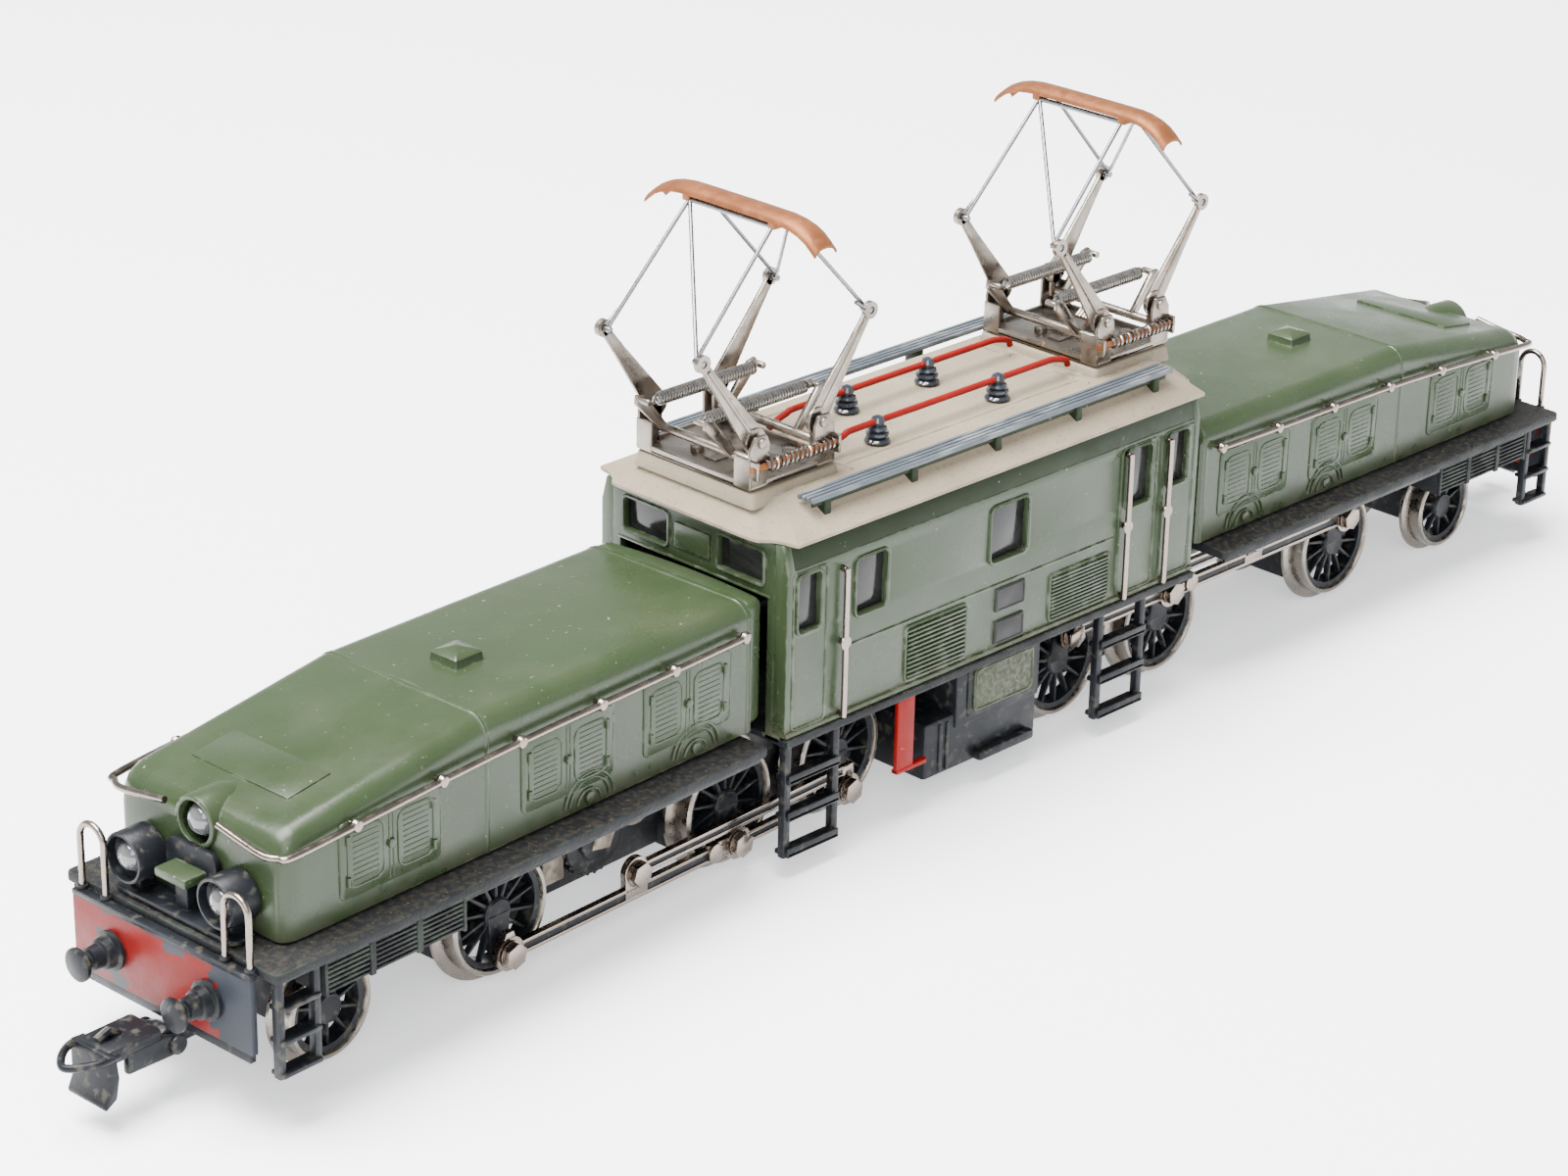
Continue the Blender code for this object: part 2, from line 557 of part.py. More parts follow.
def lower_frame(name, end, place):
    """Two tapered arms joined by a crossbar, with a crank for each spring; end is -1 at -X."""
    px, pz = end * ARM_PIVOT[0], ARM_PIVOT[1]
    tx, tz = end * TIP[0], TIP[1]
    along = Vector((tx - px, 0, tz - pz)).normalized()
    across = Vector((along.z, 0, -along.x))
    adds = [disc("y", (px, pz - CROSSBAR_DROP), 0.6, (-ARM_Y[1] + 0.1, ARM_Y[1] - 0.1), 8)]
    for side in (-1, 1):
        ys = sorted((side * ARM_Y[0], side * ARM_Y[1]))
        outline = []
        for centre, half in (((px, pz), 1.7), ((tx, tz), 0.75)):
            outline.append((centre[0] - across.x * half, centre[1] - across.z * half))
            outline.append((centre[0] + across.x * half, centre[1] + across.z * half))
        outline = [outline[0], outline[1], outline[3], outline[2]]
        adds.append(prism(outline, "y", *ys))
        adds.append(disc("y", (px, pz), 1.7, ys, 12))
        adds.append(disc("y", (tx, tz), 1.1, ys, 8))
        adds.append(box((px - 0.9, px + 0.9), ys, (pz - CROSSBAR_DROP - 0.7, pz)))
    for y in SPRING_Y:
        out = math.copysign(1, y)
        plate = sorted((y + out * (SPRING_R + GAP), y + out * (SPRING_R + GAP + 0.7)))
        low = pz - CROSSBAR_DROP
        crank = [(px - end * 0.6, low), (px + end * 0.9, low), (end * (CRANK_END + 0.6), SPRING_Z - 0.6),
                 (end * (CRANK_END + 0.4), SPRING_Z + 0.6), (end * (CRANK_END - 0.9), SPRING_Z + 0.3)]
        adds.append(prism(crank, "y", *plate))
        hook = sorted((y - out * 0.5, plate[0] + 0.3 if out > 0 else plate[1] - 0.3))
        adds.append(disc("y", (end * CRANK_END, SPRING_Z), 0.45, hook, 8))
    piece(name, "nickel", adds, origin=(px, 0, pz), place=place)


def upper_frame(name, end, place):
    """Two straight wires from the arm tips to the shoe and one diagonal wire between them."""
    tip_y = WIRE_Y - 0.05
    tx, tz = end * TIP[0], TIP[1]
    mx, mz = end * MOUNT[0], MOUNT[1]
    adds = []
    for side in (-1, 1):
        adds.append(tube([(tx, side * tip_y, tz), (mx, side * 7.3, mz)], WIRE_R))
        adds.append(disc("y", (tx, tz), 0.7, sorted((side * 7.4, side * 8.2)), 8))
    adds.append(tube([(mx, -7.5, mz), (mx, 7.5, mz)], 0.4))
    start = end * 1
    adds.append(tube([(tx, start * tip_y, tz), (mx, -start * 7.2, mz)], WIRE_R))
    piece(name, "steel", adds, origin=(tx, 0, tz), place=place)


def shoe(name, place):
    """Contact shoe: an arched bar across the track with its ends bent down."""
    stations = ((-SHOE_HALF, -2.6), (-13.4, -1.5), (-11.4, -0.5), (-9.0, 0.0))
    stations = stations + tuple((-y, drop) for y, drop in reversed(stations))
    rings = []
    for y, drop in stations:
        z = SHOE_TOP + drop
        rings.append([(-2.0, y, z - 1.1), (-1.7, y, z - 0.3), (-0.8, y, z), (0.8, y, z),
                      (1.7, y, z - 0.3), (2.0, y, z - 1.1)])
    piece(name, "copper", [loft(rings)], origin=(-MOUNT[0], 0, MOUNT[1]), place=place)


def spring(name, y, place):
    outline = [(-SPRING_HALF, 0.5), (-SPRING_HALF + 0.8, SPRING_R), (SPRING_HALF - 0.8, SPRING_R),
               (SPRING_HALF, 0.5)]
    piece(name, "steel", [turned("x", (y, SPRING_Z), outline, 12)], origin=(0, y, SPRING_Z), place=place)


def pantograph(prefix, place):
    panto_base(prefix + "_base", place)
    for end, word in ((-1, "front"), (1, "rear")):
        lower_frame(f"{prefix}_lower_frame_{word}", end, place)
        upper_frame(f"{prefix}_upper_frame_{word}", end, place)
    shoe(prefix + "_shoe", place)
    for y, word in zip(SPRING_Y, ("a", "b")):
        spring(f"{prefix}_spring_{word}", y, place)


def centre_on_origin():
    """Slide everything so that the middle of its footprint is at X = Y = 0."""
    bpy.context.view_layer.update()
    solids = list(bpy.context.scene.collection.objects)
    corners = [solid.matrix_world @ v.co for solid in solids for v in solid.data.vertices]
    middle = [(min(c[i] for c in corners) + max(c[i] for c in corners)) / 2 for i in (0, 1)]
    back = Matrix.Translation((-middle[0], -middle[1], 0))
    for solid in solids:
        solid.matrix_world = back @ solid.matrix_world


def main():
    clear_scene()
    turn = Matrix.Rotation(math.pi, 4, "Z")
    pivot = Matrix.Translation((PIVOT_X * MM, 0, 0))
    yaw = pivot @ Matrix.Rotation(FIRST_TRUCK_YAW, 4, "Z") @ pivot.inverted()
    truck("front", yaw)
    truck("rear", turn)
    motor("front_motor", "steel", yaw)
    cab_shell()
    cab_floor()
    equipment()
    cab_roof()
    for (y, *insulators), word in zip(ROOF_LINES, ("left", "right")):
        roof_line("roof_line_" + word, y, insulators)
    for prefix, x in (("front_pantograph", PANTO_X), ("rear_pantograph", -PANTO_X)):
        pantograph(prefix, Matrix.Translation((x * MM, 0, 0)))
    centre_on_origin()


main()
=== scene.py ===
import json
import math

import bmesh
import bpy
from mathutils import Matrix, Vector


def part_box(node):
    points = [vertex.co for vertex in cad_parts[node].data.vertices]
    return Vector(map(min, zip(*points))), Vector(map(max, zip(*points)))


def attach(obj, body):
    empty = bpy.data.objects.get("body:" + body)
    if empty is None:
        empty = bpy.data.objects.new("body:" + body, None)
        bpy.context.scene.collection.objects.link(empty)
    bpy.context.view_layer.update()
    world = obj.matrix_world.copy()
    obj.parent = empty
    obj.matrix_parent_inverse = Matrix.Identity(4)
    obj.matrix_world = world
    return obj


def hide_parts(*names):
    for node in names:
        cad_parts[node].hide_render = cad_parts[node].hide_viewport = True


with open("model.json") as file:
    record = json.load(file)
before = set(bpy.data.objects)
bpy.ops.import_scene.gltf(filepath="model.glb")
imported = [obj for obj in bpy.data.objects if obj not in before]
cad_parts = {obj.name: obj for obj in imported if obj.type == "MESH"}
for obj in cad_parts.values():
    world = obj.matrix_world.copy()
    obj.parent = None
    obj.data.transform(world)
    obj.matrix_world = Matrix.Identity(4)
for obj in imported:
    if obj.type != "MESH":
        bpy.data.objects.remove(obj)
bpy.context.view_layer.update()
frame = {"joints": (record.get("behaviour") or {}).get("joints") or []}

MM = 0.001
JOINTS = {joint["name"]: joint for joint in frame["joints"]}
BOTH_SIDES = ((-1, "left"), (1, "right"))

# Doors, windows and louvres are (from X, to X, from Z, to Z). Pairs are (near, far) or (low, high).

# Trucks, in millimetres, in a truck's own frame with its nose towards -X
PIVOT_X = -36.0
NOSE_X, HOOD_END_X, BAND_X = -122.8, -44.6, -91.0
HOOD_HALF, HOOD_BOTTOM, HOOD_TOP, NOSE_TOP = 14.3, 21.9, 39.5, 35.2
EDGE_ROUND = 2.6
BOARD_X, BOARD_Z, BOARD_HALF = (-127.6, -46.0), (20.2, 21.5), 18.5
BEAM_X, BEAM_HALF, BEAM_Z = -129.0, 15.5, (9.5, 20.6)
BUFFER_Y, BUFFER_Z = 8.4, 15.4
LAMP_Y, LAMP_Z, LAMP_R = 8.0, 26.6, 3.2
TOP_LAMP_Z = 32.6
RAIL_Y, RAIL_R = 15.5, 0.45
KNOBS = ((-47.6, 36.0), (-60.3, 35.7), (-73.0, 35.5), (-86.5, 35.2), (-99.2, 34.6), (-112.6, 33.8))
DOORS = ((-114.4, -98.4, 24.0, 34.0), (-85.5, -69.7, 24.6, 34.4), (-64.6, -48.8, 24.8, 34.8))
DOMES = (-74.0, -55.2)
DRIVERS = (-84.4, -43.5, -22.0)
DRIVER_Z, DRIVER_R, DRIVER_FLANGE = 9.3, 7.9, 9.3
PONY_X, PONY_Z, PONY_R, PONY_FLANGE = -112.0, 7.5, 6.4, 7.5
WHEEL_OUT, FLANGE_OUT, WHEEL_IN = 9.7, 7.3, 6.4
AXLE_R, CRANK, PIN_R = 1.5, 4.7, 1.0
ROD_Y, NUT_Y = (10.3, 11.3), (11.45, 12.5)
EAR_X, EAR_UP = -62.3, 2.8

# Cab, in the loco's own frame centred under the cab
CAB_X, CAB_Y, CAB_Z = 40.3, 16.9, (20.2, 46.2)
CAB_WALL = 1.2
BAND_Z = 43.0
SIDE_WINDOWS = ((-38.3, -34.3, 34.2, 41.8), (-27.8, -22.2, 33.6, 41.2), (-2.2, 4.9, 33.4, 41.0),
                (25.2, 30.2, 33.6, 41.8), (34.0, 38.0, 34.4, 42.0))
CAB_DOORS, CAB_DOOR_Z = ((-39.2, -33.2), (24.0, 31.4), (33.0, 39.4)), (21.0, 42.4)
SIDE_RAILS = ((-30.5, 20.8, 41.0), (24.8, 20.8, 41.6), (33.2, 20.8, 41.5))
LOUVRES = ((-18.3, -6.6, 21.4, 29.0), (10.0, 22.2, 21.4, 28.0))
PLATES = ((1.9, 27.6), (1.9, 22.9))
END_WINDOWS, END_WINDOW_Z = ((-12.6, -4.6), (4.6, 12.6)), (40.2, 44.6)
LADDERS = ((-40.0, -30.0), (21.0, 31.0))
EAVE_X, EAVE_Y = 42.3, 18.0
DECK_Z, PLINTH_Z = 50.6, 51.7
ROOF_LINES = ((-6.9, -14.0, 9.2), (3.5, -8.9, 6.7))
LINE_Z, SLAT = 53.6, 0.54

# Pantographs, each centred at its middle
BASE_HALF, BASE_Z = (7.6, 10.2), 52.0
ARM_PIVOT, TIP, MOUNT = (5.5, 57.9), (14.75, 70.3), (1.5, 84.5)
ARM_Y, WIRE_Y, WIRE_R = (8.5, 9.2), 7.9, 0.27
SHOE_HALF, SHOE_TOP = 15.0, 86.3
SPRING_Y, SPRING_Z, SPRING_HALF, SPRING_R = (5.6, -3.6), 60.1, 9.1, 0.95
CRANK_END, CROSSBAR_DROP = 10.1, 2.8

cab_low, cab_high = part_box("cab_shell")
MIDDLE = Vector(((cab_low.x + cab_high.x) / 2, (cab_low.y + cab_high.y) / 2, 0))
TO_METRES = Matrix.Scale(MM, 4)

# A unit is what its nodes' names start with, and its place: from its own millimetres to the frame
CAB = ("", Matrix.Translation(MIDDLE) @ TO_METRES)


def truck_unit(prefix):
    """A truck, placed by its king pin and turned as its first axle is."""
    pivot = Vector(JOINTS[prefix + "truck_swivel"]["pos_m"])
    axle = JOINTS[prefix + "axle_1_spin"]["axis"]
    yaw = math.atan2(-axle[0], axle[1])
    return prefix, (Matrix.Translation((pivot.x, pivot.y, 0)) @ Matrix.Rotation(yaw, 4, "Z")
                    @ Matrix.Translation((-PIVOT_X * MM, 0, 0)) @ TO_METRES)


def pantograph_unit(prefix):
    fold, other = (Vector(JOINTS[prefix + name]["pos_m"]) for name in ("fold", "rear_fold"))
    middle = (fold + other) / 2
    return prefix, Matrix.Translation((middle.x, middle.y, 0)) @ TO_METRES


# Shapes: each returns (points, faces) in millimetres

def loft(rings, closed=False):
    """A skin over rings of points, with both ends filled or the last ring joined to the first."""
    count = len(rings[0])
    points = [p for ring in rings for p in ring]
    faces = []
    last = len(rings) if closed else len(rings) - 1
    for i in range(last):
        a, b = i * count, (i + 1) % len(rings) * count
        for j in range(count):
            k = (j + 1) % count
            faces.append([a + j, a + k, b + k, b + j])
    if not closed:
        faces.append(list(range(count))[::-1])
        faces.append([len(points) - count + j for j in range(count)])
    return points, faces


def lifted(point, axis, value):
    """A point of a plane outline in space, at value along axis."""
    full = list(point)
    full.insert("xyz".index(axis), value)
    return tuple(full)


def prism(outline, axis, *span):
    """A plane outline made solid along an axis, over a span."""
    return loft([[lifted(p, axis, value) for p in outline] for value in sorted(span)])


def box(x, y, z):
    x, y = sorted(x), sorted(y)
    return prism([(x[0], y[0]), (x[1], y[0]), (x[1], y[1]), (x[0], y[1])], "z", *z)


def spaced(low, high, count):
    return [low + (high - low) * i / (count - 1) for i in range(count)]


def on(side, *values):
    """Distances from the middle, put on one side of it."""
    return tuple(side * value for value in values)


def flipped(side, points):
    """Points of a profile, their first coordinate put on one side of the middle."""
    return [(side * u, v) for u, v in points]


def circle(centre, radius, sides, turn=0.0):
    angles = [turn + 2 * math.pi * i / sides for i in range(sides)]
    return [(centre[0] + radius * math.cos(a), centre[1] + radius * math.sin(a)) for a in angles]


def disc(axis, centre, radius, span, sides=32, turn=0.0):
    return prism(circle(centre, radius, sides, turn), axis, *span)


def turned(axis, centre, profile, sides=48, closed=False):
    """A turned piece from (distance along axis, radius); closed makes a ring of the profile."""
    return loft([[lifted(p, axis, along) for p in circle(centre, max(radius, 0.01), sides)]
                 for along, radius in profile], closed)


def eye(centre, span, outer, inner, sides):
    """A disc across Y with a round hole."""
    return turned("y", centre, [(span[0], outer), (span[1], outer), (span[1], inner),
                                (span[0], inner)], sides, True)


def ball(centre, radius, sides=20):
    angles = [math.pi * i / 16 for i in range(17)]
    profile = [(centre[0] - radius * math.cos(a), radius * math.sin(a)) for a in angles]
    return turned("x", centre[1:], profile, sides)


def tube(path, radius, sides=10, closed=False):
    """A round bar along a path, its sides kept from twisting."""
    path = [Vector(p) for p in path]
    rings = []
    side = None
    for i, point in enumerate(path):
        before = path[i - 1] if closed or i else path[i]
        after = path[(i + 1) % len(path)] if closed else path[min(i + 1, len(path) - 1)]
        along = (after - before).normalized()
        if side is None:
            side = along.cross(Vector((0.13, 0.21, 0.97))).normalized()
        side = (side - along * side.dot(along)).normalized()
        up = along.cross(side)
        angles = [2 * math.pi * j / sides for j in range(sides)]
        rings.append([tuple(point + radius * (math.cos(a) * side + math.sin(a) * up)) for a in angles])
    return loft(rings, closed)


def curve(path, steps=6):
    """A smooth path through the given points."""
    path = [Vector(p) for p in path]
    full = [path[0] * 2 - path[1]] + path + [path[-1] * 2 - path[-2]]
    made = []
    for i in range(1, len(full) - 2):
        a, b, c, d = full[i - 1:i + 3]
        for step in range(steps):
            t = step / steps
            made.append(0.5 * (2 * b + (c - a) * t + (2 * a - 5 * b + 4 * c - d) * t ** 2
                               + (3 * b - a - 3 * c + d) * t ** 3))
    return made + [path[-1]]


def rounded(low, high, radius, steps=4):
    """Outline of a rectangle with round corners, in two axes."""
    corners = ((high[0] - radius, high[1] - radius, 0), (low[0] + radius, high[1] - radius, 90),
               (low[0] + radius, low[1] + radius, 180), (high[0] - radius, low[1] + radius, 270))
    outline = []
    for u, v, start in corners:
        for step in range(steps + 1):
            a = math.radians(start + 90 * step / steps)
            outline.append((u + radius * math.cos(a), v + radius * math.sin(a)))
    return outline


def bead(x, z, y, radius, corner):
    """Raised line round a rectangle on a side wall at y."""
    outline = rounded((x[0], z[0]), (x[1], z[1]), corner)
    return tube([(u, y, v) for u, v in outline], radius, 6, True)


def helix(start, end, radius, wire, turns, steps=12):
    start, end = Vector(start), Vector(end)
    along = (end - start).normalized()
    side = along.cross(Vector((0, 0, 1))).normalized()
    up = side.cross(along)
    path = []
    for i in range(turns * steps + 1):
        a = 2 * math.pi * i / steps
        middle = start.lerp(end, i / (turns * steps))
        path.append(middle + radius * (math.cos(a) * side + math.sin(a) * up))
    return tube(path, wire, 5)


def pierced(low, high, holes, across):
    """A wall from low to high in two axes, with rectangular holes, as thick as across."""
    us = sorted({low[0], high[0]} | {u for hole in holes for u in hole[:2]})
    vs = sorted({low[1], high[1]} | {v for hole in holes for v in hole[2:]})
    index, points, faces = {}, [], []

    def solid(i, k):
        if not (0 <= i < len(us) - 1 and 0 <= k < len(vs) - 1):
            return False
        u, v = (us[i] + us[i + 1]) / 2, (vs[k] + vs[k + 1]) / 2
        return not any(h[0] < u < h[1] and h[2] < v < h[3] for h in holes)

    def corner(i, k, layer):
        key = (i, k, layer)
        if key not in index:
            index[key] = len(points)
            points.append((us[i], across[layer], vs[k]))
        return index[key]

    for i in range(len(us) - 1):
        for k in range(len(vs) - 1):
            if not solid(i, k):
                continue
            for layer in (0, 1):
                faces.append([corner(i, k, layer), corner(i + 1, k, layer),
                              corner(i + 1, k + 1, layer), corner(i, k + 1, layer)])
            edges = (((i, k), (i + 1, k), (i, k - 1)), ((i + 1, k), (i + 1, k + 1), (i + 1, k)),
                     ((i + 1, k + 1), (i, k + 1), (i, k + 1)), ((i, k + 1), (i, k), (i - 1, k)))
            for a, b, beyond in edges:
                if not solid(*beyond):
                    faces.append([corner(*a, 0), corner(*b, 0), corner(*b, 1), corner(*a, 1)])
    return points, faces


def swapped(shape):
    """The shape with its X and Y exchanged."""
    return [(p[1], p[0], p[2]) for p in shape[0]], shape[1]


def softened(shape, width, segments=2):
    """The shape with its sharp edges rounded off and its faces turned out."""
    mesh = bmesh.new()
    made = [mesh.verts.new(p) for p in shape[0]]
    for face in shape[1]:
        if len(set(face)) > 2 and not mesh.faces.get([made[i] for i in face]):
            mesh.faces.new([made[i] for i in face])
    bmesh.ops.recalc_face_normals(mesh, faces=mesh.faces)
    if width:
        sharp = [e for e in mesh.edges if len(e.link_faces) == 2 and e.calc_face_angle(0) > 0.6]
        bmesh.ops.bevel(mesh, geom=sharp, offset=width, segments=segments, affect="EDGES",
                        profile=0.5, clamp_overlap=True)
    mesh.verts.index_update()
    out = [tuple(v.co) for v in mesh.verts], [[v.index for v in f.verts] for f in mesh.faces]
    mesh.free()
    return out


def carved(shape, cutter):
    """The shape less the cutter."""
    solids = []
    for points, faces in (softened(shape, 0), softened(cutter, 0)):
        mesh = bpy.data.meshes.new("carving")
        mesh.from_pydata(points, [], faces)
        solids.append(linked("carving", mesh))
    modifier = solids[0].modifiers.new("Cut", "BOOLEAN")
    modifier.operation = "DIFFERENCE"
    modifier.object = solids[1]
    modifier.solver = "EXACT"
    graph = bpy.context.evaluated_depsgraph_get()
    mesh = bpy.data.meshes.new_from_object(solids[0].evaluated_get(graph))
    out = [tuple(v.co) for v in mesh.vertices], [list(f.vertices) for f in mesh.polygons]
    bpy.data.meshes.remove(mesh)
    for solid in solids:
        bpy.data.objects.remove(solid)
    return out


def linked(name, data):
    made = bpy.data.objects.new(name, data)
    bpy.context.scene.collection.objects.link(made)
    return made


class Piece:
    """Shapes gathered into one object of one or more finishes."""

    def __init__(self, unit, name, *finishes):
        self.unit, self.name, self.finishes = unit, name, finishes
        self.points, self.faces, self.slots = [], [], []

    def add(self, shape, width=0.0, finish=0, segments=2):
        points, faces = softened(shape, width, segments)
        start = len(self.points)
        self.points += points
        self.faces += [[start + i for i in face] for face in faces]
        self.slots += [finish] * len(faces)
        return self

    def done(self, body, slot, *nodes):
        """Makes the object, on its body and in place of the unit's named CAD nodes."""
        prefix, place = self.unit
        mesh = bpy.data.meshes.new(prefix + self.name)
        mesh.from_pydata([place @ Vector(p) for p in self.points], [], self.faces)
        for finish in self.finishes:
            mesh.materials.append(MATERIALS[finish])
        mesh.polygons.foreach_set("material_index", self.slots)
        mesh.shade_smooth()
        mesh.set_sharp_from_angle(angle=math.radians(38))
        made = linked(prefix + self.name, mesh)
        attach(made, body if body == "cab" else prefix + body)
        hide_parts(*(prefix + node for node in nodes))


# Finishes

class Graph:
    """The nodes of one material. Sizes are in millimetres."""

    def __init__(self, name):
        self.material = bpy.data.materials.new(name)
        self.material.use_nodes = True
        self.tree = self.material.node_tree
        self.shader = self.tree.nodes["Principled BSDF"]
        self.coords = self.tree.nodes.new("ShaderNodeTexCoord").outputs["Object"]
        self.geometry = self.tree.nodes.new("ShaderNodeNewGeometry")

    def put(self, socket, value):
        if isinstance(value, bpy.types.NodeSocket):
            self.tree.links.new(value, socket)
        elif isinstance(value, tuple) and len(socket.default_value) == 4:
            socket.default_value = (*value, 1)
        else:
            socket.default_value = value

    def shade(self, values):
        """Sets the shader's inputs by name."""
        for name, value in values.items():
            self.put(self.shader.inputs[name], value)

    def maths(self, operation, a, b=0.0):
        node = self.tree.nodes.new("ShaderNodeMath")
        node.operation = operation
        self.put(node.inputs[0], a)
        self.put(node.inputs[1], b)
        return node.outputs[0]

    def ramp(self, value, low, high):
        node = self.tree.nodes.new("ShaderNodeMapRange")
        for name, limit in (("Value", value), ("From Min", low), ("From Max", high)):
            self.put(node.inputs[name], limit)
        return node.outputs["Result"]

    def noise(self, size, low=0.35, high=0.65, detail=4.0, stretch=(1, 1, 1)):
        mapping = self.tree.nodes.new("ShaderNodeMapping")
        self.put(mapping.inputs["Vector"], self.coords)
        mapping.inputs["Scale"].default_value = stretch
        node = self.tree.nodes.new("ShaderNodeTexNoise")
        self.put(node.inputs["Vector"], mapping.outputs["Vector"])
        node.inputs["Scale"].default_value = 1 / (size * MM)
        node.inputs["Detail"].default_value = detail
        return self.ramp(node.outputs["Fac"], low, high)

    def mixed(self, kind, first, result, factor, a, b):
        """The Mix node has sockets for every kind of data; first and result are this kind's."""
        node = self.tree.nodes.new("ShaderNodeMix")
        node.data_type = kind
        for socket, value in ((0, factor), (first, a), (first + 1, b)):
            self.put(node.inputs[socket], value)
        return node.outputs[result]

    def mix(self, *values):
        return self.mixed("RGBA", 6, 2, *values)

    def blend(self, *values):
        return self.mixed("FLOAT", 2, 0, *values)

    def split(self, vector, which):
        node = self.tree.nodes.new("ShaderNodeSeparateXYZ")
        self.put(node.inputs[0], vector)
        return node.outputs[which]

    def upward(self, low=0.4, high=0.9):
        return self.ramp(self.split(self.geometry.outputs["Normal"], "Z"), low, high)

    def height(self, low, high):
        return self.ramp(self.split(self.coords, "Z"), low * MM, high * MM)

    def edges(self, radius, low=0.02, high=0.2):
        node = self.tree.nodes.new("ShaderNodeBevel")
        node.samples = 4
        node.inputs["Radius"].default_value = radius * MM
        dot = self.tree.nodes.new("ShaderNodeVectorMath")
        dot.operation = "DOT_PRODUCT"
        self.put(dot.inputs[0], node.outputs["Normal"])
        self.put(dot.inputs[1], self.geometry.outputs["Normal"])
        return self.ramp(self.maths("SUBTRACT", 1.0, dot.outputs["Value"]), low, high)

    def both(self, *masks):
        """The product of masks: shows only where all of them do."""
        made = masks[0]
        for mask in masks[1:]:
            made = self.maths("MULTIPLY", made, mask)
        return made


def tinted(colour, share):
    return tuple(c * share for c in colour)


MATERIALS = {}


def finish(name, colour, rough, metal=0.0, coat=0.0, vary=0.1, size=9.0, layers=(), bump=0.06,
           bump_size=0.6, shine=0.5):
    """A finish: a base that varies, then layers of (mask, colour, roughness, metallic)."""
    g = Graph(name)
    base = g.mix(g.noise(size), tinted(colour, 1 - vary), tinted(colour, 1 + vary))
    roughness = g.blend(g.noise(size * 0.4), max(rough - 0.06, 0.02), rough + 0.08)
    metallic = metal
    for mask, layer_colour, layer_rough, layer_metal in layers:
        factor = mask(g)
        base = g.mix(factor, base, layer_colour)
        roughness = g.blend(factor, roughness, layer_rough)
        metallic = g.blend(factor, metallic, layer_metal)
    bump_node = g.tree.nodes.new("ShaderNodeBump")
    bump_node.inputs["Strength"].default_value = bump
    bump_node.inputs["Distance"].default_value = 0.2 * MM
    g.put(bump_node.inputs["Height"], g.noise(bump_size, 0.2, 0.8))
    g.shade({"Base Color": base, "Roughness": roughness, "Metallic": metallic,
             "Specular IOR Level": shine, "Coat Weight": coat, "Coat Roughness": 0.12,
             "Normal": bump_node.outputs["Normal"]})
    MATERIALS[name] = g.material


def clear_finish(name, tint, rough):
    g = Graph(name)
    g.shade({"Base Color": g.mix(g.noise(2.0), tint, tinted(tint, 0.92)),
             "Roughness": g.blend(g.noise(3.0), rough, rough + 0.06),
             "Transmission Weight": 0.15, "Coat Weight": 1.0, "IOR": 1.45})
    MATERIALS[name] = g.material


# Masks for the layers: where a colour shows

def patches(size, low, high, share=None, detail=4.0, stretch=(1, 1, 1)):
    """Blotches about this large, fewer as the limits rise."""
    def mask(g):
        noise = g.noise(size, low, high, detail, stretch)
        return g.both(noise, share) if share else noise
    return mask


def facing_up(size, low, high, share):
    """Blotches on what faces up."""
    return lambda g: g.both(g.noise(size, low, high), g.upward(), share)


def at_foot(low, high, share, *noise):
    """Blotches that fade out upwards between two heights."""
    return lambda g: g.both(g.maths("SUBTRACT", 1.0, g.height(low, high)), g.noise(*noise), share)


def worn(size, low, high, share, *edge):
    """Blotches along the edges."""
    def mask(g):
        masks = (g.edges(*edge), g.noise(size, low, high))
        return g.both(*masks, share) if share else g.both(*masks)
    return mask


def bare_end(edge, wander):
    """All of one end in Y, up to an edge that wanders."""
    def mask(g):
        shift = g.maths("MULTIPLY", g.noise(3.0, 0.3, 0.7, 6.0), wander * MM)
        y = g.maths("ADD", g.split(g.coords, "Y"), shift)
        return g.ramp(y, (edge + 0.12) * MM, edge * MM)
    return mask


GREEN = (0.0215, 0.0345, 0.0145)
# Beige dust. On the green paints' upward faces it also stands for a painted top highlight.
DUST_AND_TOP_SHEEN = (0.13, 0.12, 0.09)
GRIME = (0.045, 0.037, 0.025)
PALE = (0.17, 0.19, 0.15)

finish("green", GREEN, 0.30, shine=0.3, vary=0.08, size=16, layers=(
    (at_foot(20.3, 22.3, 0.9, 0.7, 0.42, 0.58), (0.045, 0.042, 0.024), 0.85, 0),
    # Upward faces made lighter: partly beige dust, partly a painted top highlight.
    (facing_up(14, 0.45, 0.8, 0.15), DUST_AND_TOP_SHEEN, 0.55, 0),
    (patches(0.8, 0.72, 0.77, 0.6, 2), PALE, 0.6, 0),
    (worn(2.2, 0.5, 0.62, 0.55, 0.5), PALE, 0.5, 0)))
finish("green_hood", GREEN, 0.28, shine=0.3, vary=0.08, size=18, layers=(
    # Upward faces made lighter: partly beige dust, partly a painted top highlight.
    (facing_up(12, 0.5, 0.8, 0.1), DUST_AND_TOP_SHEEN, 0.55, 0),
    (at_foot(21.9, 25.5, 0.6, 2.4), GRIME, 0.7, 0),
    (patches(0.7, 0.72, 0.77, 0.6, 2), PALE, 0.6, 0),
    (worn(3, 0.54, 0.64, 0.5, 0.5, 0.04, 0.3), PALE, 0.5, 0)))
